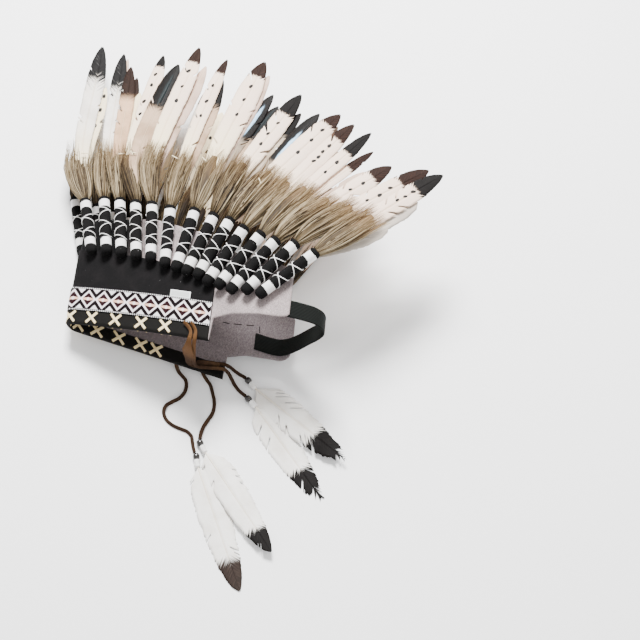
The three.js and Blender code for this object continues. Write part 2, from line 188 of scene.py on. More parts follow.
def make_piece(name, points, faces, material, flat=None, marks=None, smooth=True):
    """A mesh piece from its points (n, 3) and arrays of faces with three or four corners.
    flat gives each point's flat coordinates in millimetres, and marks one number for each."""
    faces = faces if isinstance(faces, list) else [faces]
    corners = np.concatenate([part.ravel() for part in faces]).astype(np.int32)
    sides = np.concatenate([np.full(len(part), part.shape[1]) for part in faces]).astype(np.int32)
    mesh = bpy.data.meshes.new(name)
    mesh.vertices.add(len(points))
    mesh.vertices.foreach_set("co", np.asarray(points, dtype=np.float32).ravel())
    mesh.loops.add(len(corners))
    mesh.loops.foreach_set("vertex_index", corners)
    mesh.polygons.add(len(sides))
    mesh.polygons.foreach_set("loop_start", np.concatenate([[0], np.cumsum(sides)[:-1]]).astype(np.int32))
    mesh.polygons.foreach_set("loop_total", sides)
    mesh.update(calc_edges=True)
    if flat is not None:
        layer = mesh.uv_layers.new(name="flat")
        layer.data.foreach_set("uv", np.asarray(flat, dtype=np.float32)[corners].ravel())
    for key, values in (marks or {}).items():
        mesh.attributes.new(key, "FLOAT", "POINT").data.foreach_set(
            "value", np.asarray(values, dtype=np.float32))
    mesh.polygons.foreach_set("use_smooth", np.full(len(sides), smooth))
    mesh.materials.append(material)
    piece = bpy.data.objects.new(name, mesh)
    bpy.context.scene.collection.objects.link(piece)
    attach(piece, "root")
    return piece


def unit(vectors):
    return vectors / np.linalg.norm(vectors, axis=-1, keepdims=True)


def smooth_path(knots, count):
    """count points, evenly spaced, on cubic arcs through the knots. The slope at a knot is the
    one of the parabola through it and its two neighbours, over the root of the knot distances."""
    knots = np.asarray(knots, dtype=float)
    time = np.concatenate([[0], np.cumsum(np.sqrt(np.linalg.norm(np.diff(knots, axis=0), axis=1)))])
    slope = np.gradient(knots, time, axis=0)
    fine = np.linspace(0, time[-1], 40 * len(knots))
    k = np.clip(np.searchsorted(time, fine, side="right") - 1, 0, len(knots) - 2)
    span = (time[k + 1] - time[k])[:, None]
    s = (fine - time[k])[:, None] / span
    line = ((2 * s**3 - 3 * s**2 + 1) * knots[k] + (s**3 - 2 * s**2 + s) * span * slope[k]
            + (3 * s**2 - 2 * s**3) * knots[k + 1] + (s**3 - s**2) * span * slope[k + 1])
    run = np.concatenate([[0], np.cumsum(np.linalg.norm(np.diff(line, axis=0), axis=1))])
    return np.stack([np.interp(np.linspace(0, run[-1], count), run, line[:, i]) for i in range(3)], 1)


def grid_faces(rows, columns, closed=False):
    """Four-cornered faces between neighbouring rows and columns of a grid of points. Where it
    is closed, the last column joins the first."""
    i = np.arange(rows - 1)[:, None]
    j = np.arange(columns if closed else columns - 1)[None, :]
    a, b = i * columns + j, i * columns + (j + 1) % columns
    return np.stack([a, b, b + columns, a + columns], -1).reshape(-1, 4)


def carried(path, across, up, section, sizes):
    """A section carried along a path: point = path + size * (x * across + y * up) for each
    section corner, closed by a small fan at both ends. Returns points and faces."""
    rows, columns = len(path), len(section)
    rings = (path[:, None] + (sizes[:, None, None] * section[None, :, :1]) * across[:, None]
             + (sizes[:, None, None] * section[None, :, 1:]) * up[:, None])
    points = np.concatenate([rings.reshape(-1, 3), path[:1], path[-1:]])
    j = np.arange(columns)
    after = (j + 1) % columns
    first = np.stack([after, j, np.full(columns, rows * columns)], 1)
    last = np.stack([j, after, np.full(columns, rows * columns + 1)], 1) + [[(rows - 1) * columns] * 2 + [0]]
    return points, [grid_faces(rows, columns, True), first, last]


def along_of(path):
    """Distance along a path at each of its points."""
    return np.concatenate([[0], np.cumsum(np.linalg.norm(np.diff(path, axis=0), axis=1))])


def paint_suede(wire):
    nap = wire.noise(wire.place(), 900.0, 4.0)
    worn = wire.noise(wire.place(), 60.0, 2.0)
    height = wire.node("ShaderNodeSeparateXYZ", inputs={0: wire.place()}, output=2)
    colour = wire.blend(nap, (0.010, 0.005, 0.003), (0.050, 0.026, 0.014))
    suede_colour = wire.blend(worn.step(0.5, 0.8) * 0.5, colour, (0.11, 0.060, 0.028))
    # Higher up, from 30 to 75 mm above the floor, the suede turns lighter and warmer.
    suede_colour = wire.blend(height.step(0.030, 0.075) * 0.75, suede_colour, (0.095, 0.044, 0.016))
    return {"Base Color": suede_colour, "Roughness": nap * 0.2 + 0.78,
            "Normal": wire.bump(nap + worn, 0.6, 0.0006)}


suede = finish_of("brown_suede", paint_suede, specular_ior_level=0.1)

lace_width, lace_thickness = 0.0040, 0.0015
lace_knots = {
    "near_upper": [
        (-117.3, -66, 84.6), (-112, -69.5, 86), (-107, -74, 87.4), (-104.5, -80, 88.2), (-104, -84.2, 84.5),
        (-104.8, -85, 75), (-106.5, -83.5, 62), (-108.5, -81, 48), (-110, -78, 34), (-109.6, -75.5, 24.5),
        (-107, -73.4, 20.4), (-102, -71.6, 19.8), (-96, -69.6, 19.8), (-90, -67.8, 19.8), (-84, -66.2, 19.8),
        (-78.5, -65, 19.8), (-73.3, -64, 16), (-69, -63, 9), (-64.5, -62.6, 4.2), (-60, -63.2, 3.3),
        (-56.6, -64.3, 3.4)],
    "near_lower": [
        (-110, -65.6, 87), (-105.4, -69.6, 88.4), (-101.6, -74, 89.3), (-99.6, -80, 89.9), (-99, -84.4, 86.2),
        (-99.6, -85.4, 76), (-101, -84.4, 62), (-102.6, -82.6, 48), (-104, -80.6, 34), (-103.4, -78.4, 24.5),
        (-100.4, -76.6, 20.4), (-95, -74.7, 20), (-89, -73, 20), (-83, -71.4, 20), (-77.2, -70.6, 20.6),
        (-72.4, -70.8, 15.5), (-68.6, -72.4, 8.5), (-64.4, -75.2, 3.4), (-60, -78.2, 2.2),
        (-55.6, -80.6, 2.3), (-52, -82.2, 3.1), (-49, -83.6, 3.4)],
    "far_outer": [
        (-131, -67, 10.1), (-129.4, -71.5, 9.6), (-127, -76.5, 6.8), (-123.6, -80.2, 3.2),
        (-119.4, -82.7, 1.9), (-113.4, -86.4, 1.9), (-110, -92.4, 1.9), (-109, -100, 1.9),
        (-111.6, -108, 1.9), (-116.6, -114, 1.9),
        (-120.6, -119.6, 1.9), (-120.4, -127, 1.9), (-115, -134, 1.9), (-107, -137.8, 1.9), (-98, -139, 1.9),
        (-90, -139.6, 1.9), (-84, -143, 1.9), (-80.4, -149, 1.9), (-77, -154.6, 2.4), (-73.6, -159.2, 3.2)],
    "far_inner": [
        (-104, -66.5, 10.1), (-102.4, -70, 9.2), (-100, -73.2, 6.2), (-97, -76.2, 3), (-93, -79.2, 1.9),
        (-87.4, -83.6, 1.9), (-82, -91, 1.9), (-77.6, -98, 1.9), (-74.8, -105, 1.9), (-73.8, -113, 1.9),
        (-75.4, -121.6, 1.9), (-76.6, -130, 1.9), (-76.2, -137, 2.3), (-74.6, -143.6, 3.2)],
}
# The flat lace's rounded section, as x across and y through, and the way its flat side looks.
lace_turn = np.linspace(0, 2 * np.pi, 12, endpoint=False)
lace_section = np.stack([
    np.sign(np.cos(lace_turn)) * np.abs(np.cos(lace_turn)) ** 0.45 * lace_width / 2,
    np.sign(np.sin(lace_turn)) * np.abs(np.sin(lace_turn)) ** 0.45 * lace_thickness / 2], 1)
lace_face = unit(np.array([0, -0.857, 0.514]))
lace_pieces, lace_lengths = {}, {}
for name, knots in lace_knots.items():
    path = smooth_path(mark + np.array(knots) / 1000, 120)
    heading = unit(np.gradient(path, axis=0))
    up = unit(lace_face - (heading @ lace_face)[:, None] * heading)
    points, faces = carried(path, np.cross(heading, up), up, lace_section, np.ones(len(path)))
    lace = make_piece(f"suede_lace_{name}", points, faces, suede)
    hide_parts(f"lace_{name}")
    lace_pieces[name], lace_lengths[name] = (lace, path), along_of(path)[-1]

# The wide end of the laces' suede hangs over the rim in front of them, folded to a leaf shape.
path = lace_pieces["near_upper"][1]
path = path[(along_of(path) > 0.020) & (along_of(path) < 0.118)]
heading = unit(np.gradient(path, axis=0))
up = unit(lace_face - (heading @ lace_face)[:, None] * heading)
widen = np.interp(along_of(path) * 1000, [0, 8, 24, 38, 52, 64, 78, 90, 98],
                  [0.8, 1.8, 3.3, 3.0, 1.9, 2.2, 2.3, 1.8, 0.9])
lift = lace_thickness + 0.0004 + 0.0004 * np.sin(along_of(path) / 0.009)
points, faces = carried(path + lift[:, None] * up, np.cross(heading, up) * widen[:, None], up, lace_section,
                        np.ones(len(path)))
make_piece("suede_lace_fold", points, faces, suede)


# ---- beads and collars ----------------------------------------------------------------------
# A dark glossy barrel bead is threaded on each lace's end. Below it a collar of white thread
# binds the lace to the quill of the drop feather.
def leaning(lean, rise=0.0):
    """The direction that leans by that many degrees from +Y towards +X, with a rise."""
    lean = np.radians(lean)
    return unit(np.stack(np.broadcast_arrays(np.sin(lean), np.cos(lean), rise), -1))


def turned_round(start, direction, profile, sides=24):
    """A profile of (along, radius) rows turned round an axis: point = start + along * axis
    + radius * (cos * across + sin * up)."""
    profile = np.asarray(profile, dtype=float)
    up = unit(np.array([0, 0, 1.0]) - direction[2] * direction)
    across = np.cross(direction, up)
    turn = np.linspace(0, 2 * np.pi, sides, endpoint=False)
    circle = np.stack([np.cos(turn), np.sin(turn)], 1)
    path = start + profile[:, :1] * direction
    full = np.ones((len(path), 1))
    return carried(path, full * across, full * up, circle, profile[:, 1])


def paint_bead(wire):
    grain = wire.noise(wire.stretch(1, 1, 1), 400.0)
    return {"Base Color": wire.blend(grain, (0.002, 0.0015, 0.0012), (0.012, 0.007, 0.005)),
            "Roughness": grain * 0.2 + 0.12}


def paint_thread(wire):
    """White cotton thread: the flat coordinate along the axis gives one ridge for each turn."""
    across, along = wire.flat()
    ridge = wire.math("SINE", along * (2 * np.pi / 0.55) + across * 0.35)
    soil = wire.noise(wire.place(), 120.0)
    return {"Base Color": wire.blend(soil, (0.93, 0.92, 0.90), (0.80, 0.78, 0.76)),
            "Roughness": soil * 0.2 + 0.6, "Normal": wire.bump(ridge, 0.35, 0.0004)}


bead_finish = finish_of("dark_bead", paint_bead, coat_weight=0.6, coat_roughness=0.08)
white_thread = finish_of("white_thread", paint_thread)
bead_length, collar_length, collar_radius = 0.0065, 0.008, 0.0029
# One row for each lace: the bead's middle, how the bead and the drop feather lean, and the
# feather's reach, width and height at its tip, all in millimetres and degrees.
drops = {
    "near_upper": dict(bead=(-53.1, -66, 3.5), bead_lean=123, lean=112, reach=124, width=32, tip_z=8),
    "near_lower": dict(bead=(-45.6, -85.4, 3.5), bead_lean=118, lean=126.5, reach=122, width=30, tip_z=0.9),
    "far_outer": dict(bead=(-70.6, -162.6, 3.5), bead_lean=152, lean=141, reach=138, width=30, tip_z=0.9),
    "far_inner": dict(bead=(-72.6, -147.6, 3.5), bead_lean=132, lean=128, reach=129, width=28, tip_z=8),
}
for name, drop in drops.items():
    middle = mark + np.array(drop["bead"]) / 1000
    direction = leaning(drop["bead_lean"])
    barrel = [(-3.25, 0.9), (-3.25, 1.6), (-3.0, 2.4), (-2.2, 3.1), (-1, 3.45), (0, 3.5), (1, 3.45),
              (2.2, 3.1), (3.0, 2.4), (3.25, 1.6), (3.25, 0.9)]
    points, faces = turned_round(middle, direction, np.array(barrel) / 1000)
    bead = make_piece(f"glossy_bead_{name}", points, faces, bead_finish)
    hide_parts(f"bead_{name}")
    collar_start = middle + direction * (bead_length / 2 + 0.0004)
    rows = np.linspace(0, 1, 44)
    radius = collar_radius * (0.72 + 0.28 * np.clip(np.minimum(rows, 1 - rows) * 9, 0, 1) ** 0.5)
    radius += 0.00012 * np.sin(np.linspace(0, 14 * 2 * np.pi, 44))
    points, faces = turned_round(collar_start, direction, np.stack([rows * collar_length, radius], 1))
    flat = np.concatenate([np.stack(np.broadcast_arrays(np.linspace(0, 18, 24)[None, :],
                          rows[:, None] * 8), -1).reshape(-1, 2), [[0, 0], [0, 8]]])
    collar = make_piece(f"thread_collar_{name}", points, faces, white_thread, flat=flat)
    lace, path = lace_pieces[name]


# ---- felt head band -------------------------------------------------------------------------
# The band is one strip of grey heather felt, 2 mm thick, bent round at the forehead and cut
# away at the lower edge behind the panel. It carries everything else.
near_end, far_end, fold_radius = 0.253, 0.240, 0.0065
near_arc, far_arc = fold_radius * np.radians(65), fold_radius * np.radians(90)


def walked(length, headings):
    """The plan line walked in 1 mm steps: each step goes along the heading at its middle.
    Returns x, z and the heading at each millimetre."""
    steps = np.arange(int(length * 1000) + 6) / 1000
    middle = headings(steps[:-1] + 0.0005)
    x = fold_x + np.concatenate([[0], np.cumsum(np.cos(middle) * 0.001)])
    z = far_wall_z + fold_radius + np.concatenate([[0], np.cumsum(np.sin(middle) * 0.001)])
    return steps, x, z, headings(steps)


near_plan = walked(near_end, lambda s: np.where(
    s < near_arc, np.radians(90) - s / fold_radius,
    np.radians(25 - 13 * (s - near_arc) / (near_end - near_arc))))
far_plan = walked(far_end, lambda s: -np.radians(90) + np.minimum(s, far_arc) / fold_radius)


def on_band(u, out, height):
    """A point of the band: u metres along it from the fold (below zero on the far side), out
    from its inner face and up from the rim. point = plan + out * normal, leaned by the slant."""
    u, out, height = np.broadcast_arrays(u, out, height)
    pick = [np.where(u < 0, np.interp(-u, far_plan[0], far_plan[k]), np.interp(u, near_plan[0], near_plan[k]))
            for k in (1, 2, 3)]
    side = np.where(u < 0, -1, 1)
    return np.stack([pick[0] - np.sin(pick[2]) * side * out - slant * height, rim_y + height,
                     pick[1] + np.cos(pick[2]) * side * out], -1)


def heading_at(u):
    return np.interp(u, near_plan[0], near_plan[3]) if u >= 0 else np.interp(-u, far_plan[0], far_plan[3])


def stations(start, end, step):
    """Places along the band: a millimetre apart round the fold and a step apart elsewhere."""
    knots = [start, -far_arc - 0.004, near_arc + 0.004, end]
    steps = [step, 0.001, step]
    runs = [np.linspace(a, b, max(2, int(np.ceil((b - a) / c)) + 1))
            for a, b, c in zip(knots, knots[1:], steps)]
    return np.concatenate([runs[0][:-1], runs[1][:-1], runs[2]])


def cloth_wall(u, low, high, inner, outer, rows=24, wave=None):
    """A closed cloth wall on the band. Its section runs up the outer face and down the inner
    one, with a round at both edges; u runs along. Returns points, faces and flat coordinates."""
    half = (outer - inner) / 2
    edge = np.linspace(-np.pi / 2, np.pi / 2, 5)
    rise = np.linspace(0, 1, rows)
    share = np.concatenate([rise, np.ones(3), rise[::-1], np.zeros(3)])
    bulge = np.concatenate([np.zeros(rows), np.cos(edge[1:-1]), np.zeros(rows), -np.cos(edge[1:-1])])
    side = np.concatenate([np.full(rows, 1.0), -np.sin(edge[1:-1]), np.full(rows, -1.0), np.sin(edge[1:-1])])
    low, high = np.broadcast_to(low, u.shape)[:, None], np.broadcast_to(high, u.shape)[:, None]
    height = low + half + share * (high - low - 2 * half) + bulge * half
    out = (inner + outer) / 2 + side * half
    if wave is not None:
        out = out + wave(u[:, None], height)
    points = on_band(u[:, None], out, height)
    columns = len(share)
    flat = np.stack(np.broadcast_arrays(u[:, None], height), -1).reshape(-1, 2) * 1000
    count = len(u) * columns
    middle = [points[0].mean(0), points[-1].mean(0)]
    ends = np.arange(columns)
    after = (ends + 1) % columns
    caps = [np.stack([after, ends, np.full(columns, count)], 1),
            np.stack([ends + count - columns, after + count - columns, np.full(columns, count + 1)], 1)]
    flat = np.concatenate([flat, [flat[0], flat[-1]]])
    return np.concatenate([points.reshape(-1, 3), middle]), [grid_faces(len(u), columns, True), *caps], flat


def outward(piece):
    """Turns a closed piece's faces so that they point outwards."""
    shell = bmesh.new()
    shell.from_mesh(piece.data)
    bmesh.ops.remove_doubles(shell, verts=shell.verts, dist=1e-7)
    bmesh.ops.recalc_face_normals(shell, faces=shell.faces)
    shell.to_mesh(piece.data)
    shell.free()
    return piece


def closed(piece):
    """Fills the open ends of a piece and turns its faces outwards."""
    shell = bmesh.new()
    shell.from_mesh(piece.data)
    bmesh.ops.holes_fill(shell, edges=[edge for edge in shell.edges if edge.is_boundary], sides=0)
    bmesh.ops.recalc_face_normals(shell, faces=shell.faces)
    shell.to_mesh(piece.data)
    shell.free()
    return piece


def paint_grey_felt(wire):
    """Heather felt: light, mid and brownish fibres in short strokes, over soft larger clouds. The far half is
    darker with painted shade, and painted shade fades it to black behind the forehead's sleeves."""
    strokes = wire.noise(wire.stretch(1.0, 2.6, 1.0), 700.0, 5.0, 0.7)
    crossed = wire.noise(wire.stretch(2.4, 1.0, 1.6), 520.0, 5.0, 0.7)
    clouds = wire.noise(wire.place(), 45.0, 3.0)
    fibre = strokes * 0.5 + crossed * 0.5
    colour = wire.node("ShaderNodeValToRGB", {"stops": [
        (0.32, (0.10, 0.082, 0.080)), (0.45, (0.27, 0.235, 0.235)), (0.54, (0.40, 0.345, 0.34)),
        (0.66, (0.60, 0.54, 0.53))]}, {0: fibre})
    shade = wire.blend(clouds.step(0.35, 0.7), (0.74, 0.72, 0.72), (0.90, 0.865, 0.86))
    along, up = wire.flat()
    # Painted shade: the far half of the band is darkened.
    shade = wire.blend((along < 0.0) * 0.9, shade, (0.46, 0.45, 0.47))
    mixed = wire.node("ShaderNodeMix", {"data_type": "RGBA", "blend_type": "MULTIPLY"},
                      {0: 1.0, 6: colour, 7: shade}, 2)
    # Painted shade: the felt goes black from 52 to 78 mm up, fading out between 58 and 100 mm from the fold,
    # for the shade behind the sleeves.
    painted_shade_behind_sleeves = up.step(52.0, 78.0) * (along.size().step(58.0, 100.0) * -1.0 + 1.0)
    return {"Base Color": wire.blend(painted_shade_behind_sleeves, mixed, (0.004, 0.0038, 0.004)),
            "Roughness": fibre * 0.1 + 0.88, "Normal": wire.bump(fibre, 0.8, 0.0007)}


grey_felt = finish_of("grey_felt", paint_grey_felt, specular_ior_level=0.1)
felt_along = np.array([0, 90, 150, 171, 173, 192, 222, 256]) / 1000
felt_high = np.array([118, 126, 116, 104, 103, 99, 97, 92]) / 1000
felt_low = np.array([0, 0, 0, 0, 24, 32, 37, 39]) / 1000
u = stations(-far_end, near_end, 0.0025)
u = np.sort(np.concatenate([u, [-0.1731, -0.1729, -0.1711, -0.1709, 0.1709, 0.1711, 0.1729, 0.1731]]))
to_end = np.where(u < 0, u + far_end, near_end - u) * 1000
corner = 0.016 * (1 - np.sqrt(1 - (1 - np.clip(to_end / 16, 0, 1)) ** 2)) * np.where(u < 0, 1.0, 0.25)
points, faces, flat = cloth_wall(u, np.interp(abs(u), felt_along, felt_low) + corner,
                                 np.interp(abs(u), felt_along, felt_high) - 0.4 * corner,
                                 0, felt_thickness, 30)
points[:, 2] = np.maximum(points[:, 2], 0.0005)
felt = outward(make_piece("felt_band", points, faces, grey_felt, flat=flat))
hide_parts("felt_base")


# ---- forehead panel -------------------------------------------------------------------------
# A panel of black felt, 1.5 mm thick, is glued over the front of the band and runs under the
# sleeves. Its upper edge drops towards both ends.
def paint_black_felt(wire):
    fibre = wire.noise(wire.stretch(1, 1.5, 1), 900.0, 5.0, 0.65)
    clouds = wire.noise(wire.place(), 60.0)
    lint = wire.noise(wire.stretch(1, 1, 1), 260.0, 2.0)
    colour = wire.blend(fibre, (0.0015, 0.0014, 0.0014), (0.011, 0.0105, 0.011))
    faded = wire.blend(clouds.step(0.4, 0.7) * 0.3, colour, (0.014, 0.012, 0.0125))
    return {"Base Color": wire.blend(lint.step(0.74, 0.80) * 0.5, faded, (0.25, 0.24, 0.24)),
            "Roughness": fibre * 0.1 + 0.85, "Normal": wire.bump(fibre, 0.6, 0.0005)}


black_felt = finish_of("black_felt", paint_black_felt, specular_ior_level=0.04)
layer_gap, panel_thickness, panel_end, binding_height = 0.0003, 0.0015, 0.171, 0.0127
panel_inner = felt_thickness + layer_gap
panel_outer = panel_inner + panel_thickness
u = stations(-panel_end, panel_end, 0.003)
panel_high = np.interp(abs(u), [0, 0.1, panel_end], [0.084, 0.078, 0.059])
points, faces, flat = cloth_wall(u, binding_height + layer_gap, panel_high, panel_inner, panel_outer)
panel = outward(make_piece("forehead_panel", points, faces, black_felt, flat=flat))
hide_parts("front_panel")


# ---- woven trim -----------------------------------------------------------------------------
# A jacquard ribbon 25.5 mm wide with a row of diamonds, sewn over the panel above the binding.
# Its edges have a dotted picot in black and white.
def paint_trim(wire):
    """A diamond repeats every 19 mm. ring is |x| / half width + |y| / half height from its
    middle: the middle is pale, then a dark chevron above and below with peach at the sides,
    then the white lattice, a black chevron and a white triangle at the edge."""
    along, up = wire.flat()
    y = (up - 25.95).size()
    x = (wire.math("FRACT", along / 19.0 + 0.13) - 0.5).size() * 19.0
    ring = x / 9.5 + y / 9.7
    colour = wire.blend(ring > 0.22, (0.88, 0.78, 0.78), (0.020, 0.006, 0.008))
    colour = wire.blend((ring > 0.22) * ((y + x * 0.12) < 1.7), colour, (0.80, 0.48, 0.34))
    colour = wire.blend(ring > 0.77, colour, (0.90, 0.84, 0.86))
    colour = wire.blend(ring > 1.07, colour, (0.006, 0.003, 0.004))
    colour = wire.blend(ring > 1.63, colour, (0.86, 0.85, 0.85))
    picot = wire.math("SINE", along * (2 * np.pi / 2.5)) > 0.0
    edge = wire.blend(picot, (0.012, 0.011, 0.012), (0.85, 0.84, 0.84))
    colour = wire.blend(y > 11.1, colour, (0.014, 0.012, 0.013))
    colour = wire.blend(y > 11.6, colour, edge)
    thread = wire.math("SINE", along * (2 * np.pi / 0.62)) * wire.math("SINE", up * (2 * np.pi / 0.5))
    soil = wire.noise(wire.place(), 500.0)
    worn = wire.node("ShaderNodeMix", {"data_type": "RGBA", "blend_type": "MULTIPLY"}, {
        0: 1.0, 6: colour, 7: wire.blend(soil, (0.70, 0.67, 0.68), (1.0, 1.0, 1.0))}, 2)
    return {"Base Color": worn, "Roughness": soil * 0.2 + 0.6, "Normal": wire.bump(thread, 0.35, 0.0003)}


woven = finish_of("woven_ribbon", paint_trim, specular_ior_level=0.04)
trim_low, trim_height, trim_thickness = binding_height + 0.0005, 0.0255, 0.0009
trim_inner = panel_outer + layer_gap
trim_outer = trim_inner + trim_thickness
points, faces, flat = cloth_wall(u, trim_low, trim_low + trim_height, trim_inner, trim_outer, 12)
trim = outward(make_piece("woven_trim_ribbon", points, faces, woven, flat=flat))
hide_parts("woven_trim")


# ---- edge binding and its cross stitches ----------------------------------------------------
# A black ribbon is folded round the rim of the front half. Cream ribbon crosses are sewn over
# it on the outside and the inside.
def paint_black_ribbon(wire):
    along, up = wire.flat()
    rib = wire.math("SINE", along * (2 * np.pi / 0.9))
    fibre = wire.noise(wire.place(), 900.0, 4.0)
    return {"Base Color": wire.blend(fibre, (0.0015, 0.0015, 0.0015), (0.011, 0.010, 0.009)),
            "Roughness": fibre * 0.2 + 0.65, "Normal": wire.bump(rib * 0.5 + fibre, 0.35, 0.0003)}


def paint_cream_ribbon(wire):
    across, along = wire.flat()
    rib = wire.math("SINE", across * (2 * np.pi / 0.6))
    sheen = wire.noise(wire.place(), 160.0)
    return {"Base Color": wire.blend(sheen, (0.90, 0.76, 0.45), (0.66, 0.49, 0.24)),
            "Roughness": sheen * 0.25 + 0.4, "Normal": wire.bump(rib, 0.3, 0.0002)}


black_ribbon = finish_of("black_ribbon", paint_black_ribbon, specular_ior_level=0.06)
cream_ribbon = finish_of("cream_ribbon", paint_cream_ribbon)
binding_thickness = 0.0012
outer_leg, inner_leg = panel_inner + binding_thickness, -layer_gap - binding_thickness
u = stations(-panel_end, panel_end, 0.003)
leg = np.linspace(1, 0, 8)[:-1]
turn = np.linspace(0, np.pi, 9)
centre, radius = (outer_leg + inner_leg) / 2, (outer_leg - inner_leg) / 2
hole = radius - binding_thickness
top = binding_height
section = np.concatenate([
    np.stack([np.full(7, outer_leg), hole + leg * (top - hole)], 1),
    np.stack([centre + radius * np.cos(turn), hole - radius * np.sin(turn) * 0.95], 1),
    np.stack([np.full(7, inner_leg), hole + leg[::-1] * (top - hole)], 1),
    np.stack([np.full(7, inner_leg + binding_thickness), hole + leg * (top - hole)], 1),
    np.stack([centre - hole * np.cos(turn), hole - hole * np.sin(turn) * 0.8], 1),
    np.stack([np.full(7, outer_leg - binding_thickness), hole + leg[::-1] * (top - hole)], 1)])
points = on_band(u[:, None], section[None, :, 0], section[None, :, 1])
points[..., 2] = np.maximum(points[..., 2], 0.0003)
flat = np.stack(np.broadcast_arrays(u[:, None], section[None, :, 1]), -1).reshape(-1, 2) * 1000
columns = len(section)
binding = closed(make_piece("rim_binding", points.reshape(-1, 3), grid_faces(len(u), columns, True),
                            black_ribbon, flat=flat))
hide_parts("edge_binding")


def band_strip(start, end, width, outs, rows=13):
    """A flat ribbon laid on the band between two (along, height) places: its middle line is
    straight in the band's flat coordinates, with a soft rise in the middle of its length."""
    start, end = np.array(start), np.array(end)
    share = np.linspace(0, 1, rows)
    line = start + share[:, None] * (end - start)
    side = unit(np.array([end[1] - start[1], start[0] - end[0]]))
    spread = np.array([-0.5, -0.36, 0, 0.36, 0.5, 0.5, 0.36, 0, -0.36, -0.5])
    level = np.array([0.1, 0.0, 0.0, 0.0, 0.1, 0.8, 1.0, 1.0, 1.0, 0.8])
    place = line[:, None] + spread[None, :, None] * width * side
    out = outs[0] + np.sin(share * np.pi)[:, None] * outs[2] + level[None, :] * outs[1]
    points = on_band(place[..., 0], out, place[..., 1])
    flat = np.stack(np.broadcast_arrays(spread[None, :] * width * 1000,
                                        share[:, None] * np.linalg.norm(end - start) * 1000), -1)
    return points.reshape(-1, 3), grid_faces(rows, 10, True), flat.reshape(-1, 2)


def joined(parts):
    """Several (points, faces, flat) parts as one set of arrays."""
    starts = np.cumsum([0] + [len(part[0]) for part in parts[:-1]])
    points = np.concatenate([part[0] for part in parts])
    faces = [faces + start for part, start in zip(parts, starts)
             for faces in (part[1] if isinstance(part[1], list) else [part[1]])]
    by_sides = [np.concatenate([f for f in faces if f.shape[1] == n]) for n in (3, 4)
                if any(f.shape[1] == n for f in faces)]
    return points, by_sides, *[np.concatenate([part[k] for part in parts]) for k in range(2, len(parts[0]))]


cross_width, cross_half = 0.0028, 0.0062
cross_places = {"near": [0.006, 0.0334, 0.063, 0.0937, 0.1218],
                "far": [-0.012, -0.033, -0.057, -0.081, -0.098]}
for side, places in cross_places.items():
    for face, (base, sign) in {"outer": (outer_leg, 1), "inner": (inner_leg, -1)}.items():
        strips = []
        for place in places:
            strips.append(band_strip((place - cross_half, 0.0004), (place + cross_half, 0.0122), cross_width,
                                     (base + sign * 0.0001, sign * 0.0004, 0.0)))
            strips.append(band_strip((place + cross_half, 0.0004), (place - cross_half, 0.0122), cross_width,
                                     (base + sign * 0.0001, sign * 0.0004, sign * 0.0006)))
        points, faces, flat = joined(strips)
        points[:, 2] = np.maximum(points[:, 2], 0.0001)
        closed(make_piece(f"cream_crosses_{side}_{face}", points, faces, cream_ribbon,
                          flat=flat))


# ---- black stitches -------------------------------------------------------------------------
# A row of long black stitches shows on the inner face of the far half.
dashes = [((-0.164, 0.060), (-0.171, 0.061)), ((-0.176, 0.062), (-0.184, 0.064)),
          ((-0.189, 0.065), (-0.197, 0.067)), ((-0.203, 0.068), (-0.204, 0.061))]
parts = [band_strip(start, stop, 0.0008, (-0.0003, 0.0006, 0.0)) for start, stop in dashes]
points, faces, flat = joined(parts)
closed(make_piece("black_stitches", points, faces, black_ribbon, flat=flat))


# ---- label and elastic ----------------------------------------------------------------------
# A small blank woven label is caught under the trim's upper edge. A ribbed black elastic joins
# the two ends of the felt behind the head, stitched to their inner faces.
def paint_label(wire):
    along, up = wire.flat()
    inside = ((along - 134.5).size() < 10.3) * ((up - 42.8).size() < 2.7)
    weave = wire.math("SINE", along * (2 * np.pi / 0.45)) * wire.math("SINE", up * (2 * np.pi / 0.45))
    grain = wire.noise(wire.place(), 900.0)
    cloth = wire.blend(grain, (0.42, 0.44, 0.43), (0.54, 0.55, 0.54))
    return {"Base Color": wire.blend(inside, (0.74, 0.75, 0.74), cloth), "Roughness": grain * 0.2 + 0.45,
            "Normal": wire.bump(weave, 0.25, 0.0002)}


label_cloth = finish_of("label_cloth", paint_label)
label_low = trim_low + trim_height + layer_gap
points, faces, flat = cloth_wall(np.linspace(0.123, 0.146, 16), label_low, label_low + 0.0075,
                                 trim_inner, trim_inner + 0.0007, 8)
label = outward(make_piece("woven_blank_label", points, faces, label_cloth, flat=flat))
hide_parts("blank_label")


def paint_elastic(wire):
    """Ribs run along the elastic, and fine rubber threads cross them."""
    along, up = wire.flat()
    rib = wire.math("SINE", up * (2 * np.pi / 1.5))
    cross = wire.math("SINE", along * (2 * np.pi / 0.8))
    fibre = wire.noise(wire.place(), 700.0)
    return {"Base Color": wire.blend(rib * 0.35 + fibre * 0.5 + 0.1,
                                     (0.0015, 0.0018, 0.0016), (0.009, 0.011, 0.0095)),
            "Roughness": fibre * 0.2 + 0.6, "Normal": wire.bump(rib + cross * 0.35, 0.5, 0.0004)}


